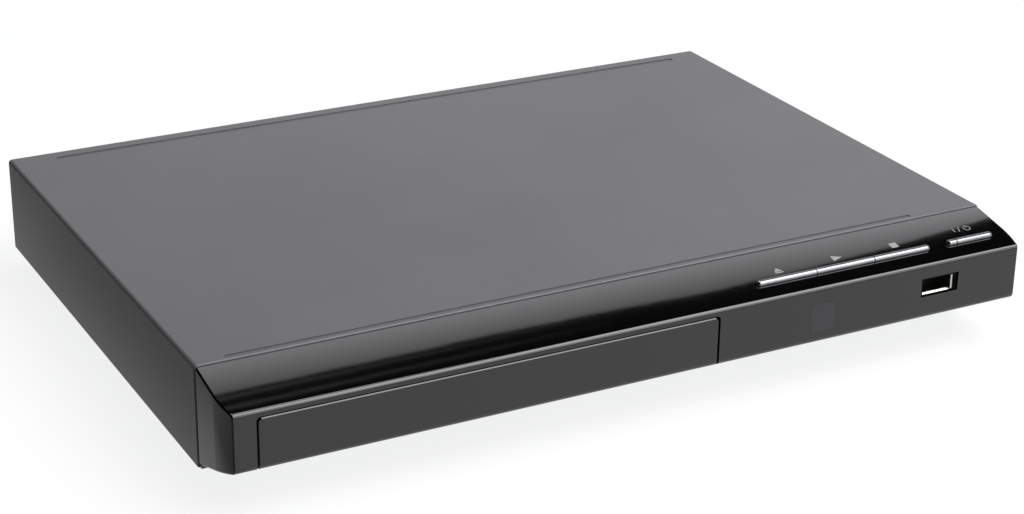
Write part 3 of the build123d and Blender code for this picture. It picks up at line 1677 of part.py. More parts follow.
def make_heat_sink():
    x = power_board_left + sink_across
    y = power_board_front + sink_along
    top = board_top_z + sink_height
    sink = block(x, x + sink_plate, y, y + sink_length, board_top_z, top)
    pitch = sink_length / sink_fins
    for i in range(sink_fins):
        fin_y = y + (i + 0.5) * pitch
        sink += block(x + sink_plate - weld, x + sink_reach, fin_y - 0.7, fin_y + 0.7, board_top_z + 1, top)
    return sink


def make_fuse():
    x = power_board_left + fuse_across
    y = power_board_front + fuse_along
    z = board_top_z + fuse_rise
    fuse = bar_y(x, z, y, y + fuse_length, fuse_radius)
    for clip_y in (y + 1.0, y + fuse_length - 3.0):
        fuse += block(x - 1.5, x + 1.5, clip_y, clip_y + 2, board_top_z, z)
    return fuse


def make_front_ribbon():
    start_y = front_board_y + front_board_thickness
    start_z = front_board_top - ribbon_drop
    low_z = board_top_z + ribbon_rise
    climb = [main_board_front + behind for behind in ribbon_climb]
    path = FilletPolyline(
        (start_y, start_z),
        (start_y + ribbon_runs[0], start_z),
        (start_y + ribbon_runs[1], low_z),
        (climb[0], low_z),
        (climb[1], low_z + ribbon_step),
        (climb[2], board_top_z + ribbon_end_rise),
        radius=ribbon_bend,
    )
    face = Plane.YZ.offset(main_board_left + ribbon_across) * trace(path, ribbon_thickness)
    return extrude(face, ribbon_width)


def make_power_harness():
    start_x = main_board_right - harness_from_edge
    end_x = power_board_left + harness_to_edge
    start_y = main_board_front + harness_along
    end_y = power_board_front + harness_lane
    across = end_x - start_x
    along = end_y - start_y
    lead = Plane(origin=(start_x, start_y, board_top_z), x_dir=(across, along, 0), z_dir=(along, -across, 0))
    reach = (across**2 + along**2) ** 0.5
    path = lead * FilletPolyline(
        (0, 0), (0, harness_rise), (reach, harness_rise), (reach, 0), radius=harness_bend
    )
    section = Plane(origin=lead.origin, z_dir=(0, 0, 1)) * Circle(wire_radius)
    wire = sweep(section, path)
    harness = Part()
    for i in range(harness_wires):
        harness += Pos(0, i * harness_pitch, 0) * wire
    return harness


makers = {
    "top_cover": make_top_cover,
    "bottom_chassis": make_bottom_chassis,
    "rear_panel": make_rear_panel,
    "front_bezel": make_front_bezel,
    "feet": make_feet,
    "foot_pads": make_foot_pads,
    "cover_screws": make_cover_screws,
    "ir_window": make_ir_window,
    "ir_receiver": make_ir_receiver,
    "led_lens": make_led_lens,
    "front_board": make_front_board,
    "tact_switches": make_tact_switches,
    "usb_shell": make_usb_shell,
    "usb_tongue": make_usb_tongue,
    "main_board": make_main_board,
    "main_chips": make_main_chips,
    "hdmi_socket": make_hdmi_socket,
    "jack_block": make_jack_block,
    "jack_shells": make_jack_shells,
    "mains_inlet": make_mains_inlet,
    "inlet_pins": make_inlet_pins,
    "power_board": make_power_board,
    "transformer": make_transformer,
    "bulk_capacitor": make_bulk_capacitor,
    "small_capacitors": make_small_capacitors,
    "heat_sink": make_heat_sink,
    "fuse": make_fuse,
    "front_ribbon": make_front_ribbon,
    "power_harness": make_power_harness,
    "board_screws": make_board_screws,
    "loader_frame": make_loader_frame,
    "loader_screws": make_loader_screws,
    "clamp_bridge": make_clamp_bridge,
    "loading_motor": make_loading_motor,
    "loading_belt": make_loading_belt,
    "pivot_rod": make_pivot_rod,
    "disc_tray": make_disc_tray,
    "tray_door": make_tray_door,
    "motor_pulley": make_motor_pulley,
    "pulley_gear": make_pulley_gear,
    "drive_gear": make_drive_gear,
    "cam_slider": make_cam_slider,
    "traverse_frame": make_traverse_frame,
    "guide_rods": make_guide_rods,
    "spindle_motor": make_spindle_motor,
    "sled_motor": make_sled_motor,
    "spindle_rotor": make_spindle_rotor,
    "turntable": make_turntable,
    "clamper": make_clamper,
    "clamp_yoke": make_clamp_yoke,
    "optical_pickup": make_optical_pickup,
    "objective_lens": make_objective_lens,
    "sled_gear": make_sled_gear,
    "sled_pinion": make_sled_pinion,
    "eject_button": lambda: make_button(
        button_edges[0], button_edges[1] - button_gap / 2, button_plungers[0], True, False
    ),
    "play_button": lambda: make_button(
        button_edges[1] + button_gap / 2, button_edges[2] - button_gap / 2, button_plungers[1], False, False
    ),
    "stop_button": lambda: make_button(
        button_edges[2] + button_gap / 2, button_edges[3], button_plungers[2], False, True
    ),
    "power_button": lambda: make_button(power_left, power_right, power_plunger, False, True),
}

os.makedirs("parts", exist_ok=True)
for node_name, maker in makers.items():
    export_step(maker(), f"parts/{node_name}.step")
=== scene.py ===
import json
import math

import bmesh
import bpy
from mathutils import Matrix, Vector


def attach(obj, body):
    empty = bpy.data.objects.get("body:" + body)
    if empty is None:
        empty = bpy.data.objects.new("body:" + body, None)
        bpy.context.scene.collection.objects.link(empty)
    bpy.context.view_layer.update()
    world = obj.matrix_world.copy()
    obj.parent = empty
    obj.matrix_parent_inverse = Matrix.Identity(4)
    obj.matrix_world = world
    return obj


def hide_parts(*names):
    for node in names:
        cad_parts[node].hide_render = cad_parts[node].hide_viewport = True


# A slim disc player with a loading tray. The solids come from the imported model; this script
# gives them their finishes and adds the small pieces that are printed, stamped or soldered on.
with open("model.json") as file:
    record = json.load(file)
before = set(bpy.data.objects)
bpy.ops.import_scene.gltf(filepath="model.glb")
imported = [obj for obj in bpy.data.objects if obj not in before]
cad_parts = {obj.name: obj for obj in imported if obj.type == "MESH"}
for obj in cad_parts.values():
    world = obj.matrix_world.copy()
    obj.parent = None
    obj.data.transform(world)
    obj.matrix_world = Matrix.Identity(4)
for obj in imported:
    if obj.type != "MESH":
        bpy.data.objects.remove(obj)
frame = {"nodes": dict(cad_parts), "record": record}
NODES = frame["nodes"]
BODIES = frame["record"]["behaviour"]["bodies"]
BODY_OF = {node: body for body, nodes in BODIES.items() for node in nodes}
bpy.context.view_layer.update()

MM = 0.001

# ---------------------------------------------------------------- sizes shared with the solids, in mm
COVER_FRONT = -80.1
SLOPE = math.radians(11.2)
SLOPE_TOP = 37.9
SLOPE_GAP = 0.3  # from the cover's front edge to the start of the slope
BUTTON_FORWARD = 15.6  # from the cover's front edge to the middle of the round bars
BUTTON_RADIUS = 1.3
SOCKET_X = 103.0  # middle of the front serial bus socket
SOCKET_Z = 25.6
VIDEO_X = 45.0  # middle of the digital video socket
BOARD_TOP = 14.5
# Each rear jack's x and z, and the colour of its insert.
JACKS = {
    "audio_left": (64.0, 16.6, "#e9e7e2"),
    "audio_right": (64.0, 29.2, "#b3202a"),
    "video": (77.0, 16.6, "#d9b21d"),
    "component_y": (77.0, 29.2, "#2f8b45"),
    "component_pb": (90.0, 16.6, "#2456a6"),
    "component_pr": (90.0, 29.2, "#b3202a"),
    "coaxial": (31.0, 16.6, "#d8772a"),
}


def linear(hex_colour):
    """An sRGB hex colour as linear red, green, blue and alpha."""
    values = [int(hex_colour[i : i + 2], 16) / 255 for i in (1, 3, 5)]
    return [v / 12.92 if v <= 0.04045 else ((v + 0.055) / 1.055) ** 2.4 for v in values] + [1.0]


# ---------------------------------------------------------------- materials
NOISE_MIDDLE = {"From Min": 0.3, "From Max": 0.7}  # where nearly all of a noise's values lie
NOISE_STOPS = (0.35, 0.65)
SHARP_STOPS = (0.4, 0.6)  # for a pattern that is either on or off
CLOUD_MM = 18.0  # the slow change of tone across any moulding


def add(tree, kind, inputs=None, **settings):
    """Adds a node with its settings; an input takes a value or another node's output."""
    made = tree.nodes.new(kind)
    for name, value in settings.items():
        setattr(made, name, value)
    for key, value in (inputs or {}).items():
        if isinstance(value, bpy.types.NodeSocket):
            tree.links.new(value, made.inputs[key])
        else:
            made.inputs[key].default_value = value
    return made


def finish(name, colour, roughness, metallic=0.0, **sockets):
    """A new material with its Principled shader. The named sockets are set to constants."""
    material = bpy.data.materials.new(name)
    material.use_nodes = True
    tree = material.node_tree
    shader = tree.nodes["Principled BSDF"]
    shader.inputs["Base Color"].default_value = linear(colour)
    shader.inputs["Roughness"].default_value = roughness
    shader.inputs["Metallic"].default_value = metallic
    for key, value in sockets.items():
        shader.inputs[key.replace("_", " ")].default_value = value
    return material, tree, shader


def places_mm(tree, stretch=(1, 1, 1)):
    """Object coordinates in millimetres, stretched along the axes."""
    coords = add(tree, "ShaderNodeTexCoord")
    scale = [factor / MM for factor in stretch]
    inputs = {"Vector": coords.outputs["Object"], "Scale": scale}
    return add(tree, "ShaderNodeMapping", inputs).outputs["Vector"]


def dress(tree, shader, tone=None, stops=NOISE_STOPS, gloss=None, relief=None):
    """Lets patterns drive a shader.

    tone is a pattern and two colours, gloss a pattern and the range of its roughness, and
    relief a pattern and its height in millimetres.
    """
    if tone:
        pattern, *colours = tone
        ramp = add(tree, "ShaderNodeValToRGB", {"Fac": pattern})
        for element, stop, colour in zip(ramp.color_ramp.elements, stops, colours):
            element.position = stop
            element.color = linear(colour)
        tree.links.new(ramp.outputs["Color"], shader.inputs["Base Color"])
    if gloss:
        pattern, low, high = gloss
        inputs = {"Value": pattern, **NOISE_MIDDLE, "To Min": low, "To Max": high}
        levels = add(tree, "ShaderNodeMapRange", inputs)
        tree.links.new(levels.outputs["Result"], shader.inputs["Roughness"])
    if relief:
        pattern, height_mm = relief
        bump = add(tree, "ShaderNodeBump", {"Height": pattern, "Distance": height_mm * MM, "Strength": 1.0})
        tree.links.new(bump.outputs["Normal"], shader.inputs["Normal"])


def grained(name, dark, light, roughness, grain_mm, depth_mm, **sockets):
    """A moulded or sprayed surface with a fine grain and a slight change of tone."""
    material, tree, shader = finish(name, light, roughness, **sockets)
    vector = places_mm(tree)
    clouds = add(tree, "ShaderNodeTexNoise", {"Vector": vector, "Scale": 1 / CLOUD_MM, "Detail": 2.0})
    inputs = {"Vector": vector, "Scale": 1 / grain_mm, "Detail": 2.0, "Roughness": 0.6}
    grain = add(tree, "ShaderNodeTexNoise", inputs).outputs["Fac"]
    dress(
        tree,
        shader,
        tone=(clouds.outputs["Fac"], dark, light),
        gloss=(grain, roughness - 0.05, roughness + 0.06),
        relief=(grain, depth_mm),
    )
    return material


def drawn_metal(name, dark, light, roughness, along, line_mm, depth_mm):
    """Metal with fine lines left along one axis by drawing, rolling or turning."""
    material, tree, shader = finish(name, light, roughness, metallic=1.0)
    # A line is 25 times as long as it is wide.
    vector = places_mm(tree, [0.04 if axis == along else 1.0 for axis in "XYZ"])
    inputs = {"Vector": vector, "Scale": 1 / line_mm, "Detail": 3.0, "Roughness": 0.6}
    lines = add(tree, "ShaderNodeTexNoise", inputs).outputs["Fac"]
    dress(
        tree,
        shader,
        tone=(lines, dark, light),
        gloss=(lines, roughness - 0.06, roughness + 0.08),
        relief=(lines, depth_mm),
    )
    return material


def powder_coat():
    """Powder coat sprayed on steel sheet: a dark grey skin with a very fine, even grain."""
    sheen = {"Specular_IOR_Level": 0.35, "Coat_Weight": 0.4, "Coat_Roughness": 0.2}
    material, tree, shader = finish("powder_coated_steel", "#58585b", 0.46, **sheen)
    vector = places_mm(tree)
    cloud_mm = 60.0
    clouds = add(tree, "ShaderNodeTexNoise", {"Vector": vector, "Scale": 1 / cloud_mm, "Detail": 2.0})
    # The real grain is about 0.15 mm across; it is drawn at 0.6 mm so that it shows at all.
    grain_mm = 0.6
    inputs = {"Vector": vector, "Scale": 1 / grain_mm, "Detail": 2.0, "Roughness": 0.7}
    grain = add(tree, "ShaderNodeTexNoise", inputs).outputs["Fac"]
    dress(
        tree,
        shader,
        tone=(clouds.outputs["Fac"], "#565659", "#5a5a5d"),
        gloss=(grain, 0.42, 0.52),
        relief=(grain, 0.016),
    )
    return material


def gloss_moulding(name, colour, roughness):
    """Plastic moulded in a polished tool: a clear gloss with a little dust and very faint waves."""
    material, tree, shader = finish(name, colour, roughness, IOR=1.58)
    vector = places_mm(tree)
    wave_mm, dust_mm = 14.0, 1.2
    waves = add(tree, "ShaderNodeTexNoise", {"Vector": vector, "Scale": 1 / wave_mm, "Detail": 1.0})
    inputs = {"Vector": vector, "Scale": 1 / dust_mm, "Detail": 4.0, "Roughness": 0.7}
    dust = add(tree, "ShaderNodeTexNoise", inputs).outputs["Fac"]
    dress(
        tree,
        shader,
        gloss=(dust, roughness * 0.8, roughness * 1.5),
        relief=(waves.outputs["Fac"], 0.002),
    )
    return material


def metal_film():
    """A metal film evaporated on a polished moulding: a dark silver mirror, softened by lacquer."""
    material, tree, shader = finish("metallised_abs", "#7c7d7f", 0.2, metallic=1.0)
    cloud_mm = 9.0
    inputs = {"Vector": places_mm(tree), "Scale": 1 / cloud_mm, "Detail": 2.0}
    clouds = add(tree, "ShaderNodeTexNoise", inputs).outputs["Fac"]
    dress(tree, shader, tone=(clouds, "#77787a", "#818284"), gloss=(clouds, 0.17, 0.23))
    return material


def shell_with_painted_shade_mouth():
    """Nickel-plated sheet of a socket's shell: bright inside, with painted shade on the forward-facing faces
    round the mouth.
    """
    material, tree, shader = finish("nickel_shell_with_painted_shade", "#c9c7c2", 0.2, metallic=1.0)
    coords = add(tree, "ShaderNodeTexCoord")
    facing = add(tree, "ShaderNodeSeparateXYZ", {"Vector": coords.outputs["Normal"]})
    # Painted shade: every face of the shell that faces forward, round the mouth, is coloured near black.
    painted_shade_rim = add(tree, "ShaderNodeMath", {0: facing.outputs["Y"], 1: -0.5}, operation="LESS_THAN").outputs[0]
    scratch_mm = 0.6
    inputs = {"Vector": places_mm(tree), "Scale": 1 / scratch_mm, "Detail": 3.0}
    scratches = add(tree, "ShaderNodeTexNoise", inputs).outputs["Fac"]
    dress(tree, shader, tone=(painted_shade_rim, "#c9c7c2", "#101011"), stops=SHARP_STOPS, relief=(scratches, 0.003))
    return material


def spangled_zinc(name, dark, light):
    """Hot-dip galvanised steel sheet: grey crystals about 5 mm across, each with its own tone."""
    material, tree, shader = finish(name, light, 0.42, metallic=1.0)
    vector = places_mm(tree)
    crystal_mm, ripple_mm = 5.0, 1.5
    cells = add(tree, "ShaderNodeTexVoronoi", {"Vector": vector, "Scale": 1 / crystal_mm})
    own = add(tree, "ShaderNodeSeparateColor", {"Color": cells.outputs["Color"]})
    ripples = add(tree, "ShaderNodeTexNoise", {"Vector": vector, "Scale": 1 / ripple_mm, "Detail": 3.0})
    dress(
        tree,
        shader,
        tone=(own.outputs["Red"], dark, light),
        stops=(0.0, 1.0),
        gloss=(own.outputs["Green"], 0.34, 0.5),
        relief=(ripples.outputs["Fac"], 0.01),
    )
    return material


def circuit_board(name, mask, copper, track_mm):
    """Board laminate: solder mask with raised tracks that show through it as lighter lines."""
    material, tree, shader = finish(name, mask, 0.42)
    mesh_mm = track_mm * 6
    inputs = {"Vector": places_mm(tree), "Scale": 1 / mesh_mm, "Randomness": 0.75}
    cells = add(tree, "ShaderNodeTexVoronoi", inputs, feature="DISTANCE_TO_EDGE")
    inputs = {"Value": cells.outputs["Distance"], "From Min": 0.06, "From Max": 0.09}
    gap = add(tree, "ShaderNodeMapRange", inputs).outputs["Result"]
    track = add(tree, "ShaderNodeMath", {0: 1.0, 1: gap}, operation="SUBTRACT").outputs[0]
    dress(tree, shader, tone=(gap, copper, mask), stops=SHARP_STOPS, relief=(track, 0.035))
    return material


def flat_cable():
    """Flat flexible cable: pale film with an even row of flat conductors showing through it."""
    material, tree, shader = finish("flat_flexible_cable", "#d9d9d4", 0.35)
    pitch_mm, conductor_mm = 1.0, 0.6
    split = add(tree, "ShaderNodeSeparateXYZ", {"Vector": places_mm(tree)})
    across = add(tree, "ShaderNodeMath", {0: split.outputs["X"], 1: pitch_mm}, operation="MODULO").outputs[0]
    across = add(tree, "ShaderNodeMath", {0: across}, operation="ABSOLUTE").outputs[0]
    on = add(tree, "ShaderNodeMath", {0: across, 1: conductor_mm}, operation="LESS_THAN").outputs[0]
    dress(tree, shader, tone=(on, "#d9d9d4", "#a9a59a"), stops=SHARP_STOPS, relief=(on, 0.05))
    return material


def clear_finish(name, colour, roughness):
    """Glass or clear acrylic: see-through, with a sharp gloss and a few specks."""
    material, tree, shader = finish(name, colour, roughness, Transmission_Weight=0.85, IOR=1.49)
    speck_mm = 1.0
    inputs = {"Vector": places_mm(tree), "Scale": 1 / speck_mm, "Detail": 3.0}
    specks = add(tree, "ShaderNodeTexNoise", inputs).outputs["Fac"]
    dress(tree, shader, gloss=(specks, roughness, roughness * 2))
    return material


# Real grains and drawing lines are 0.01 to 0.15 mm across, too fine to show. They are drawn
# at 0.2 to 0.8 mm.
COVER = powder_coat()
METALLISED = metal_film()
# Polished ABS, near-black: the bezel and the door show the room in them.
GLOSS_BLACK = gloss_moulding("polished_tool_abs", "#050506", 0.02)
# Acrylic dyed to pass infrared only: smoky, a shade lighter and softer than the bezel.
IR_FILTER = gloss_moulding("dyed_acrylic_window", "#1d1e24", 0.1)
# Shrink sleeve: dark blue with a waxy gloss.
SLEEVE = gloss_moulding("heat_shrunk_sleeve", "#14182a", 0.28)
# Extruded vinyl: plain red with a dull gloss.
WIRE = gloss_moulding("pvc_wire_insulation", "#a01818", 0.35)
# Zinc as it leaves the bath: pale crystals with a soft shine.
ZINC = spangled_zinc("galvanised_steel", "#8f9394", "#b9bcbd")
# The chassis is passivated after the bath, which leaves the crystals dull and dark.
DARK_ZINC = spangled_zinc("passivated_galvanised_steel", "#4e5153", "#686b6d")
# Paint on steel: almost black and half matt, with the faint dimples of spraying.
PANEL = grained("painted_rear_steel", "#1c1c1e", "#232325", 0.5, 0.7, 0.015)
# ABS from spark-eroded tools: black with an even matt grain.
BLACK_ABS = grained("spark_grained_abs", "#161617", "#1e1e20", 0.5, 0.4, 0.02)
# ABS from a finer tool: a little lighter and silkier, as trays are.
TRAY_ABS = grained("fine_grained_abs", "#1f1f21", "#28282a", 0.42, 0.35, 0.012)
# Acetal: milky white gears and slides, with broad, shallow flow marks.
ACETAL = grained("moulded_acetal", "#dcd8cb", "#e8e5da", 0.38, 2.5, 0.006, Subsurface_Weight=0.1)
# Foamed rubber: dead matt, with open cells.
PAD = grained("foamed_rubber", "#222224", "#2e2e30", 0.85, 0.5, 0.08)
# Rubber ground to size: black with a dull nap.
BELT = grained("ground_rubber_belt", "#141415", "#1d1d1e", 0.7, 0.2, 0.02)
# Zinc as it leaves the die: dull grey with a cast skin.
DIE_CAST = grained("die_cast_zinc", "#77787a", "#8f9092", 0.45, 0.8, 0.02, metallic=0.9)
# Epoxy pressed round a chip: charcoal with a blasted face.
EPOXY = grained("epoxy_moulding_compound", "#141415", "#1c1c1d", 0.48, 0.3, 0.01)
# Ferrite pressed and fired: dark grey and slightly sandy.
FERRITE = grained("sintered_ferrite", "#2a2a2c", "#38383a", 0.55, 0.5, 0.02)
# Liquid crystal polymer: black and smooth, with a low sheen.
CONTACT_CARRIER = grained("black_contact_carrier", "#101011", "#19191a", 0.4, 0.3, 0.01)
# Pad-printed ink: flat light grey, with no gloss.
PRINT_GREY = grained("pad_printed_grey_ink", "#8d8d8c", "#969695", 0.6, 0.5, 0.004)
# Steel blackened in hot oxide: dark metal with a trace of the wire's lines.
OXIDE_SCREW = drawn_metal("black_oxide_screw", "#1b1b1c", "#3a3a3b", 0.38, "Z", 0.4, 0.004)
# Nickel plate on drawn steel: warm silver with fine lines.
NICKEL = drawn_metal("nickel_plated_steel", "#a7a49d", "#cfcdc6", 0.22, "Y", 0.35, 0.003)
# Bright nickel on pressed shells: nearly a mirror.
BRIGHT_NICKEL = drawn_metal("bright_nickel_shell", "#b8b6b1", "#dad8d3", 0.14, "Y", 0.3, 0.002)
# Brass turned from bar: yellow with faint tool lines.
BRASS = drawn_metal("turned_brass", "#9a7430", "#c79b4a", 0.25, "Z", 0.3, 0.004)
# Extruded aluminium: pale satin with the die's lines along it.
ALUMINIUM = drawn_metal("extruded_aluminium", "#a9abad", "#c8cacc", 0.34, "Z", 0.4, 0.01)
# A flash of gold on sprung contacts: yellow and bright.
GOLD = drawn_metal("gold_flashed_contact", "#b58a35", "#e0b65a", 0.2, "Y", 0.2, 0.002)
# Solder that has flowed: grey-white with soft ripples.
SOLDER = drawn_metal("reflowed_solder", "#9fa1a3", "#c6c8ca", 0.28, "Z", 0.6, 0.01)
# Glass of the fuse's tube, colourless.
FUSE_GLASS = clear_finish("fuse_tube_glass", "#f2f4f4", 0.03)
# A moulded lens whose coating leaves a blue tint.
COATED_LENS = clear_finish("coated_objective_lens", "#b9c4e8", 0.02)
# Phenolic paper board: brown, with wide tracks.
BROWN_BOARD = circuit_board("phenolic_paper_board", "#7a5530", "#a5793f", 1.4)
# Glass-fibre board under green mask, with fine tracks.
GREEN_BOARD = circuit_board("solder_masked_board", "#0f4a2a", "#2f7a48", 0.5)

FINISHES = {
    "top_cover": COVER,
    "bottom_chassis": DARK_ZINC,
    "rear_panel": PANEL,
    "front_bezel": GLOSS_BLACK,
    "feet": BLACK_ABS,
    "foot_pads": PAD,
    "cover_screws": OXIDE_SCREW,
    "ir_window": IR_FILTER,
    "ir_receiver": EPOXY,
    "led_lens": METALLISED,
    "front_board": BROWN_BOARD,
    "tact_switches": BLACK_ABS,
    "usb_shell": shell_with_painted_shade_mouth(),
    "usb_tongue": CONTACT_CARRIER,
    "main_board": GREEN_BOARD,
    "main_chips": EPOXY,
    "hdmi_socket": BRIGHT_NICKEL,
    "jack_block": BLACK_ABS,
    "jack_shells": BRIGHT_NICKEL,
    "mains_inlet": BLACK_ABS,
    "inlet_pins": NICKEL,
    "power_board": BROWN_BOARD,
    "transformer": FERRITE,
    "bulk_capacitor": SLEEVE,
    "small_capacitors": SLEEVE,
    "heat_sink": ALUMINIUM,
    "fuse": FUSE_GLASS,
    "front_ribbon": flat_cable(),
    "power_harness": WIRE,
    "board_screws": NICKEL,
    "loader_frame": BLACK_ABS,
    "loader_screws": NICKEL,
    "clamp_bridge": ZINC,
    "loading_motor": NICKEL,
    "loading_belt": BELT,
    "pivot_rod": NICKEL,
    "disc_tray": TRAY_ABS,
    "tray_door": GLOSS_BLACK,
    "motor_pulley": ACETAL,
    "pulley_gear": ACETAL,
    "drive_gear": ACETAL,
    "cam_slider": ACETAL,
    "traverse_frame": BLACK_ABS,
    "guide_rods": NICKEL,
    "spindle_motor": NICKEL,
    "sled_motor": NICKEL,
    "spindle_rotor": NICKEL,
    "turntable": BLACK_ABS,
    "clamper": ACETAL,
    "clamp_yoke": NICKEL,
    "optical_pickup": DIE_CAST,
    "objective_lens": COATED_LENS,
    "sled_gear": ACETAL,
    "sled_pinion": BRASS,
    "eject_button": METALLISED,
    "play_button": METALLISED,
    "stop_button": METALLISED,
    "power_button": METALLISED,
}
for node_name, material in FINISHES.items():
    slots = NODES[node_name].data.materials
    slots.clear()
    slots.append(material)


# ---------------------------------------------------------------- printed symbols
INK_TOP = 0.03  # the ink stands this far off the slope
INK_FOOT = -0.01  # and reaches a little into it, so that no gap shows


def ride_on(name, data, body):
    """Puts a mesh into the scene as a piece that rides on a body."""
    piece = bpy.data.objects.new(name, data)
    bpy.context.collection.objects.link(piece)
    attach(piece, body)
    return piece


def casing_piece(name, bm, material):
    """Turns a bmesh into a piece that rides on the casing."""
    bmesh.ops.recalc_face_normals(bm, faces=bm.faces)
    data = bpy.data.meshes.new(name)
    bm.to_mesh(data)
    bm.free()
    data.materials.append(material)
    ride_on(name, data, "casing")


def bridge(bm, first, last):
    """Faces between two matching loops of vertices."""
    for i in range(len(first)):
        j = (i + 1) % len(first)
        bm.faces.new((first[i], first[j], last[j], last[i]))


def slope_point(x, forward, lift=0.0):
    """A point on the bezel's sloping top, in metres, lifted off it by lift."""
    y = COVER_FRONT - forward
    z = SLOPE_TOP - (forward - SLOPE_GAP) * math.tan(SLOPE)
    return Vector((x, y - lift * math.sin(SLOPE), z + lift * math.cos(SLOPE))) * MM


def printed_shape(bm, x, forward, outline):
    """A flat printed shape, from points to the right of its middle and towards the rear."""
    low, high = (
        [bm.verts.new(slope_point(x + u, forward - v * math.cos(SLOPE), lift)) for u, v in outline]
        for lift in (INK_FOOT, INK_TOP)
    )
    bm.faces.new(high)
    bm.faces.new(list(reversed(low)))
    bridge(bm, low, high)


def oblong(left, front, right, rear):
    """The four corners of a rectangle seen from above."""
    return [(left, front), (right, front), (right, rear), (left, rear)]


def arc(radius, start, end, steps):
    """Points on an arc, in degrees from the rightward direction."""
    angles = [math.radians(start + (end - start) * i / steps) for i in range(steps + 1)]
    return [(radius * math.cos(a), radius * math.sin(a)) for a in angles]


def printed_symbols():
    """The symbols behind the buttons: eject, play, stop and on or standby."""
    gap_start, gap_end, steps = 120, 420, 20
    ring = arc(1.3, gap_start, gap_end, steps) + list(reversed(arc(1.05, gap_start, gap_end, steps)))
    bm = bmesh.new()
    for x, forward, outline in (
        (49.8, 11.0, [(-1.5, -0.5), (1.5, -0.5), (0.0, 1.2)]),
        (49.8, 11.0, oblong(-1.5, -1.3, 1.5, -0.85)),
        (71.9, 10.9, [(-1.8, -1.35), (1.8, 0.0), (-1.8, 1.35)]),
        (93.6, 10.7, oblong(-1.3, -1.25, 1.3, 1.25)),
        (117.8, 9.5, oblong(-0.15, -1.2, 0.15, 1.2)),
        (119.9, 9.6, [(-0.7, -1.2), (-0.4, -1.2), (0.7, 1.2), (0.4, 1.2)]),
        (122.9, 9.75, ring),
        (122.9, 9.75, oblong(-0.14, 0.1, 0.14, 1.5)),
    ):
        printed_shape(bm, x, forward, outline)
    casing_piece("button_symbols", bm, PRINT_GREY)


printed_symbols()


# ---------------------------------------------------------------- round button bars
def smooth_bar(name, node):
    """Stands for a round bar whose CAD mesh shows its facets: the same surface, smoothly shaded."""
    bm = bmesh.new()
    bm.from_mesh(NODES[node].data)
    bmesh.ops.remove_doubles(bm, verts=bm.verts, dist=1e-6)
    bmesh.ops.recalc_face_normals(bm, faces=bm.faces)
    for face in bm.faces:
        face.smooth = True
        # Painted shade: the flat ends get the black plastic in place of the film, so the splits between the
        # bars stay dark.
        face.material_index = 1 if abs(face.normal.x) > 0.95 else 0
    bm.normal_update()
    radius = BUTTON_RADIUS * MM
    nearly = 0.02 * MM
    leftmost = min(vert.co.x for vert in bm.verts) + radius
    rightmost = max(vert.co.x for vert in bm.verts) - radius
    axis = slope_point(0, BUTTON_FORWARD)
    normals = []
    for face in bm.faces:
        is_end = face.material_index == 1
        spokes = []
        for loop in face.loops:
            # A spoke starts at the nearest point of the bar's axis, or at the middle of a round end.
            x = 0 if is_end else min(max(loop.vert.co.x, leftmost), rightmost)
            if abs((loop.vert.co - Vector((x, axis.y, axis.z))).length - radius) > nearly:
                x = loop.vert.co.x
            spokes.append(loop.vert.co - Vector((x, axis.y, axis.z)))
        is_round = not is_end and all(abs(spoke.length - radius) < nearly for spoke in spokes)
        normals += [tuple(spoke.normalized() if is_round else face.normal) for spoke in spokes]
    data = bpy.data.meshes.new(name)
    bm.to_mesh(data)
    bm.free()
    data.normals_split_custom_set(normals)
    data.materials.append(METALLISED)
    data.materials.append(BLACK_ABS)
    piece = ride_on(name, data, BODY_OF[node])
    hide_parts(node)


for button in ("eject", "play", "stop", "power"):
    smooth_bar(f"{button}_bar", f"{button}_button")
smooth_bar("status_light_bar", "led_lens")


# ---------------------------------------------------------------- lips of the serial bus socket
def mouth_lips():
    """Bright lips inside the socket's mouth: a sloping one along the bottom, an upright one at the right."""
    front, back = -102.95, -102.35
    bottom = SOCKET_Z - 2.5
    ramp_left, ramp_right, ramp_height = SOCKET_X - 6.1, SOCKET_X + 4.1, 0.42
    post_left, post_right = SOCKET_X + 4.55, SOCKET_X + 5.15
    post_low, post_high = bottom + 0.1, bottom + 4.8
    ramp = [(front, bottom), (back, bottom), (back, bottom + ramp_height)]
    post = oblong(post_left, front, post_right, back)
    bm = bmesh.new()
    for loops in (
        [[(x, y, z) for y, z in ramp] for x in (ramp_left, ramp_right)],
        [[(x, y, z) for x, y in post] for z in (post_low, post_high)],
    ):
        first, last = ([bm.verts.new(Vector(place) * MM) for place in loop] for loop in loops)
        bm.faces.new(first)
        bm.faces.new(list(reversed(last)))
        bridge(bm, first, last)
    casing_piece("usb_mouth_lips", bm, NICKEL)


mouth_lips()


# ---------------------------------------------------------------- rows made with Geometry Nodes
ROW_BEVEL = 0.05


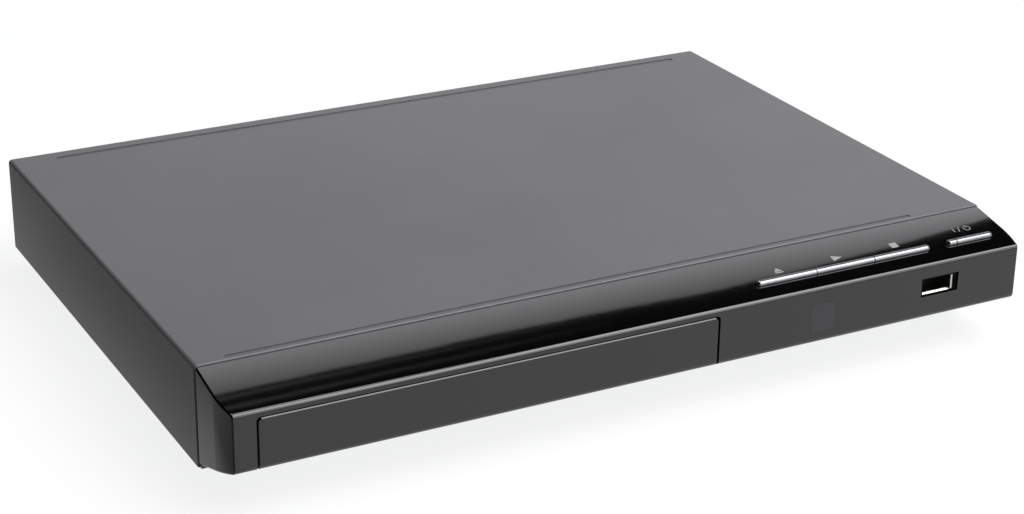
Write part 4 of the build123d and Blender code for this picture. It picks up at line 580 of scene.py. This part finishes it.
def row_tree(name):
    """A Geometry Nodes tree that lays bars in a row from named sizes."""
    tree = bpy.data.node_groups.new(name, "GeometryNodeTree")
    face = tree.interface
    face.new_socket("Geometry", in_out="INPUT", socket_type="NodeSocketGeometry")
    face.new_socket("Geometry", in_out="OUTPUT", socket_type="NodeSocketGeometry")
    face.new_socket("Count", in_out="INPUT", socket_type="NodeSocketInt")
    for label in ("Start", "Step", "Size"):
        face.new_socket(label, in_out="INPUT", socket_type="NodeSocketVector")
    face.new_socket("Finish", in_out="INPUT", socket_type="NodeSocketMaterial")
    given = add(tree, "NodeGroupInput").outputs
    inputs = {"Count": given["Count"], "Start Location": given["Start"], "Offset": given["Step"]}
    line = add(tree, "GeometryNodeMeshLine", inputs).outputs["Mesh"]
    bar = add(tree, "GeometryNodeMeshCube", {"Size": given["Size"]}).outputs["Mesh"]
    copies = add(tree, "GeometryNodeInstanceOnPoints", {"Points": line, "Instance": bar}).outputs["Instances"]
    real = add(tree, "GeometryNodeRealizeInstances", {"Geometry": copies}).outputs["Geometry"]
    inputs = {"Geometry": real, "Material": given["Finish"]}
    dressed = add(tree, "GeometryNodeSetMaterial", inputs).outputs["Geometry"]
    add(tree, "NodeGroupOutput", {"Geometry": dressed})
    return tree


ROW = row_tree("bar_row")
ROW_SOCKETS = {item.name: item.identifier for item in ROW.interface.items_tree if item.in_out == "INPUT"}


def bar_row(name, count, start, pitch, size, material):
    """A row of small bevelled bars from left to right, as a plain mesh. Sizes are in millimetres."""
    holder = bpy.data.objects.new(name + "_row", bpy.data.meshes.new(name + "_row"))
    bpy.context.collection.objects.link(holder)
    row = holder.modifiers.new("row", "NODES")
    row.node_group = ROW
    row[ROW_SOCKETS["Count"]] = count
    for label, values in (("Start", start), ("Step", (pitch, 0, 0)), ("Size", size)):
        row[ROW_SOCKETS[label]] = [value * MM for value in values]
    row[ROW_SOCKETS["Finish"]] = material
    edge = holder.modifiers.new("edge", "BEVEL")
    edge.width = ROW_BEVEL * MM
    edge.segments = 2
    shape = holder.evaluated_get(bpy.context.evaluated_depsgraph_get())
    data = bpy.data.meshes.new_from_object(shape)
    data.name = name
    ride_on(name, data, "casing")
    bpy.data.objects.remove(holder)


# Spring contacts on the underside of the serial bus socket's tongue.
BUS_CONTACT = (1.0, 5.4, 0.16)
bar_row("usb_contacts", 4, (SOCKET_X - 3.5, -95.8, SOCKET_Z + 0.2), 2.333, BUS_CONTACT, GOLD)
# Contacts of the digital video socket, on both faces of its tongue.
VIDEO_CONTACT = (0.4, 7.6, 0.1)
for side, count, left, z in (("top", 10, VIDEO_X - 4.5, 18.34), ("under", 9, VIDEO_X - 4.0, 17.06)):
    bar_row(f"video_contacts_{side}", count, (left, 89.4, z), 1.0, VIDEO_CONTACT, GOLD)
# Gull-wing legs of the chips on the main board, 1 mm apart, with none near a chip's corners.
LEG = (0.45, 1.4, 0.2)
CHIPS = (("decoder", 56.0, 40.0, 20.0), ("memory", 82.0, 36.0, 10.0), ("driver", 36.0, 36.0, 9.0))
for chip, x, y, width in CHIPS:
    count = int(width) - 2
    for side, way in (("front", -1), ("rear", 1)):
        start = (x - (count - 1) / 2, y + way * (width / 2 + LEG[1] / 2), BOARD_TOP + 0.15)
        bar_row(f"{chip}_legs_{side}", count, start, 1, LEG, SOLDER)


# ---------------------------------------------------------------- coloured parts of the rear jacks
RING_STEPS = 40
RING_EDGE = 0.25


def ring_piece(name, x, z, front, rear, inner, outer, material):
    """A ring about a line along Y, with a small chamfer at its rear end."""
    near = rear - RING_EDGE
    profile = [
        (inner, front),
        (outer, front),
        (outer, near),
        (outer - RING_EDGE, rear),
        (inner + RING_EDGE, rear),
        (inner, near),
    ]
    bm = bmesh.new()
    loops = []
    for i in range(RING_STEPS):
        a = 2 * math.pi * i / RING_STEPS
        spots = [Vector((x + r * math.cos(a), y, z + r * math.sin(a))) * MM for r, y in profile]
        loops.append([bm.verts.new(spot) for spot in spots])
    for i, loop in enumerate(loops):
        bridge(bm, loop, loops[(i + 1) % RING_STEPS])
    casing_piece(name, bm, material)


for label, (x, z, colour) in JACKS.items():
    # Polypropylene in the jack's own colour: a soft gloss that shows only faint flow marks.
    insert = grained(f"coloured_jack_insert_{label}", colour, colour, 0.35, 1.0, 0.005)
    ring_piece(f"jack_insert_{label}", x, z, 102.3, 102.75, 1.75, 3.2, insert)
    ring_piece(f"jack_collar_{label}", x, z, 96.05, 96.4, 4.25, 5.1, insert)


# ---------------------------------------------------------------- stage and light
FLOOR_HALF = 6.0
FLOOR_LEVEL = 0.86  # of the floor's own glow, which carries no light to the object
BEHIND = 1.3  # the strip light's place behind the player, in metres
# The strip light's upper edge, from right to left, as x and z in metres.
STRIP_TOP = [(2.1, 1.64), (1.9, 1.68), (1.75, 1.697), (1.61, 1.712), (1.45, 1.722)]
STRIP_TOP += [(1.28, 1.727), (1.15, 1.722), (0.96, 1.719), (0.68, 1.722), (0.15, 1.724)]
STRIP_FOOT = 1.2
STREAK_LEFT, STREAK_RIGHT = 0.2, 1.15
LAMPS = (
    # name, place, what it faces, width and height in metres, watts
    ("overhead_softbox", (0.1, 0.2, 1.6), (0, 0, 0), 1.0, 0.7, 9.0),
    ("key_softbox", (0.65, -0.62, 1.2), (0, 0, 0.02), 1.3, 0.9, 24.0),
    ("front_softbox", (0.63, -1.2, 0.62), (0, 0, 0.02), 1.2, 0.5, 5.5),
)
FILL = 0.02  # the light that the room itself throws on the object


def seen_by_mirrors(tree):
    """1 for rays from the camera, from a mirror or through glass, and 0 for rays that carry light."""
    ray = add(tree, "ShaderNodeLightPath").outputs
    seen = ray["Is Camera Ray"]
    for kind in ("Is Glossy Ray", "Is Transmission Ray"):
        seen = add(tree, "ShaderNodeMath", {0: seen, 1: ray[kind]}, operation="MAXIMUM").outputs[0]
    return seen, ray["Is Camera Ray"]


def fade(tree, source, axis, start, end, low=0.0, high=1.0):
    """A level that goes from low to high as one coordinate goes from start to end."""
    coords = add(tree, "ShaderNodeTexCoord")
    split = add(tree, "ShaderNodeSeparateXYZ", {"Vector": coords.outputs[source]})
    ends = {"From Min": start, "From Max": end, "To Min": low, "To Max": high}
    return add(tree, "ShaderNodeMapRange", {"Value": split.outputs[axis], **ends}).outputs["Result"]


def floor_shader(tree):
    """A white floor that keeps a shadow. Mirrors see its glow with painted shade to the left of the player.
    """
    seen, camera_ray = seen_by_mirrors(tree)
    # Painted shade: the glow that mirrors see is dimmed to the left of the player, and more at its left
    # front, as if the floor were shaded there.
    side = fade(tree, "Object", "X", -0.16, -0.12, 0.14, 1.0)
    front = fade(tree, "Object", "Y", -0.13, -0.07, 0.3, 1.0)
    right = fade(tree, "Object", "X", -0.16, -0.12)
    front = add(tree, "ShaderNodeMath", {0: front, 1: right}, operation="MAXIMUM").outputs[0]
    dim = add(tree, "ShaderNodeMath", {0: side, 1: front}, operation="MULTIPLY").outputs[0]
    level = add(tree, "ShaderNodeMath", {0: dim, 1: camera_ray}, operation="MAXIMUM").outputs[0]
    level = add(tree, "ShaderNodeMath", {0: level, 1: FLOOR_LEVEL}, operation="MULTIPLY").outputs[0]
    strength = add(tree, "ShaderNodeMath", {0: level, 1: seen}, operation="MULTIPLY").outputs[0]
    glow = add(tree, "ShaderNodeEmission", {"Color": (0.985, 0.99, 1, 1), "Strength": strength})
    paint = add(tree, "ShaderNodeBsdfDiffuse", {"Color": linear("#6c6c6c")})
    both = add(tree, "ShaderNodeAddShader", {0: glow.outputs[0], 1: paint.outputs[0]})
    add(tree, "ShaderNodeOutputMaterial", {"Surface": both.outputs[0]})


def strip_shader(tree):
    """A tall strip light behind the player, brighter towards its foot."""
    strength = fade(tree, "Object", "Z", 1.665, 1.722, 2.1, 0.95)
    glow = add(tree, "ShaderNodeEmission", {"Color": (0.98, 0.97, 1, 1), "Strength": strength})
    add(tree, "ShaderNodeOutputMaterial", {"Surface": glow.outputs[0]})


def streak_shader(tree):
    """A faint streak of light above the strip, fading to the right."""
    strength = fade(tree, "Object", "X", 0.55, 1.15, 0.34, 0.03)
    glow = add(tree, "ShaderNodeEmission", {"Color": (1, 1, 0.98, 1), "Strength": strength})
    add(tree, "ShaderNodeOutputMaterial", {"Surface": glow.outputs[0]})


def stage_sheet(name, points, make_shader):
    """A flat sheet of the studio with its own shader."""
    material = bpy.data.materials.new(name)
    material.use_nodes = True
    material.node_tree.nodes.clear()
    make_shader(material.node_tree)
    bm = bmesh.new()
    bm.faces.new([bm.verts.new(point) for point in points])
    data = bpy.data.meshes.new(name)
    bm.to_mesh(data)
    bm.free()
    data.materials.append(material)
    sheet = bpy.data.objects.new(name, data)
    bpy.context.collection.objects.link(sheet)
    return sheet


def studio():
    """A white floor, and a strip light behind whose top edge shows in the bezel's sloping gloss."""
    corners = oblong(-FLOOR_HALF, -FLOOR_HALF, FLOOR_HALF, FLOOR_HALF)
    floor = stage_sheet("floor", [(x, y, 0) for x, y in corners], floor_shader)
    outline = [(STRIP_TOP[-1][0], STRIP_FOOT), (STRIP_TOP[0][0], STRIP_FOOT)] + STRIP_TOP
    strip = stage_sheet("strip_light", [(x, BEHIND, z) for x, z in outline], strip_shader)
    for name, low, high in (("streak_low", 1.733, 1.741), ("streak_high", 1.753, 1.762)):
        # Both edges come down towards the right, and the upper one comes down more.
        left = [(STREAK_LEFT, BEHIND, high), (STREAK_LEFT, BEHIND, low)]
        right = [(STREAK_RIGHT, BEHIND, low - 0.008), (STREAK_RIGHT, BEHIND, high - 0.012)]
        stage_sheet(name, left + right, streak_shader)


def softbox(name, place, aim, width, height, watts):
    """A rectangular lamp that faces a point."""
    lamp = bpy.data.lights.new(name, "AREA")
    lamp.shape = "RECTANGLE"
    lamp.size = width
    lamp.size_y = height
    lamp.energy = watts
    holder = bpy.data.objects.new(name, lamp)
    bpy.context.collection.objects.link(holder)
    holder.location = place
    holder.rotation_euler = (Vector(aim) - Vector(place)).to_track_quat("-Z", "Y").to_euler()


def room():
    """A dim room, pale near the horizon, dark overhead, and dimmer on the left."""
    world = bpy.data.worlds.new("dim_room")
    bpy.context.scene.world = world
    world.use_nodes = True
    tree = world.node_tree
    seen, camera_ray = seen_by_mirrors(tree)
    height = fade(tree, "Generated", "Z", 0.35, 0.5, 0.8, 0.004)
    side = fade(tree, "Generated", "X", -0.5, 0.2, 0.06, 1.0)
    side = add(tree, "ShaderNodeMath", {0: side, 1: camera_ray}, operation="MAXIMUM").outputs[0]
    level = add(tree, "ShaderNodeMath", {0: height, 1: side}, operation="MULTIPLY").outputs[0]
    level = add(tree, "ShaderNodeMath", {0: level, 1: seen}, operation="MULTIPLY").outputs[0]
    unseen = add(tree, "ShaderNodeMath", {0: 1.0, 1: seen}, operation="SUBTRACT").outputs[0]
    fill = add(tree, "ShaderNodeMath", {0: unseen, 1: FILL}, operation="MULTIPLY").outputs[0]
    total = add(tree, "ShaderNodeMath", {0: level, 1: fill}, operation="ADD").outputs[0]
    tree.links.new(total, tree.nodes["Background"].inputs["Strength"])
    tree.nodes["Background"].inputs["Color"].default_value = (1, 1, 1, 1)


studio()
for lamp in LAMPS:
    softbox(*lamp)
room()

# ---------------------------------------------------------------- camera, solved from the photo's edges
CAMERA_AIM = Vector((5.863, -0.729, 13.621)) * MM
CAMERA_AZIMUTH = -0.488648
CAMERA_ELEVATION = 0.407350
CAMERA_ROLL = 0.012833
CAMERA_DISTANCE = 771.947 * MM
CAMERA_LENS = 81.507


def solved_camera():
    """A camera that looks at CAMERA_AIM from its azimuth and elevation, rolled a little."""
    level = math.cos(CAMERA_ELEVATION)
    x, y = math.sin(CAMERA_AZIMUTH) * level, -math.cos(CAMERA_AZIMUTH) * level
    back = Vector((x, y, math.sin(CAMERA_ELEVATION)))
    right = Vector((0, 0, 1)).cross(back).normalized()
    up = back.cross(right)
    turned_right = right * math.cos(CAMERA_ROLL) + up * math.sin(CAMERA_ROLL)
    turned_up = up * math.cos(CAMERA_ROLL) - right * math.sin(CAMERA_ROLL)
    lens = bpy.data.cameras.new("camera")
    lens.lens = CAMERA_LENS
    lens.sensor_width = 36.0
    lens.clip_start = 0.05
    lens.clip_end = 30.0
    camera = bpy.data.objects.new("camera", lens)
    bpy.context.collection.objects.link(camera)
    turn = Matrix((turned_right, turned_up, back)).transposed().to_4x4()
    camera.matrix_world = Matrix.Translation(CAMERA_AIM + back * CAMERA_DISTANCE) @ turn
    return camera


bpy.context.scene.camera = solved_camera()
bpy.context.scene.view_settings.view_transform = "Standard"
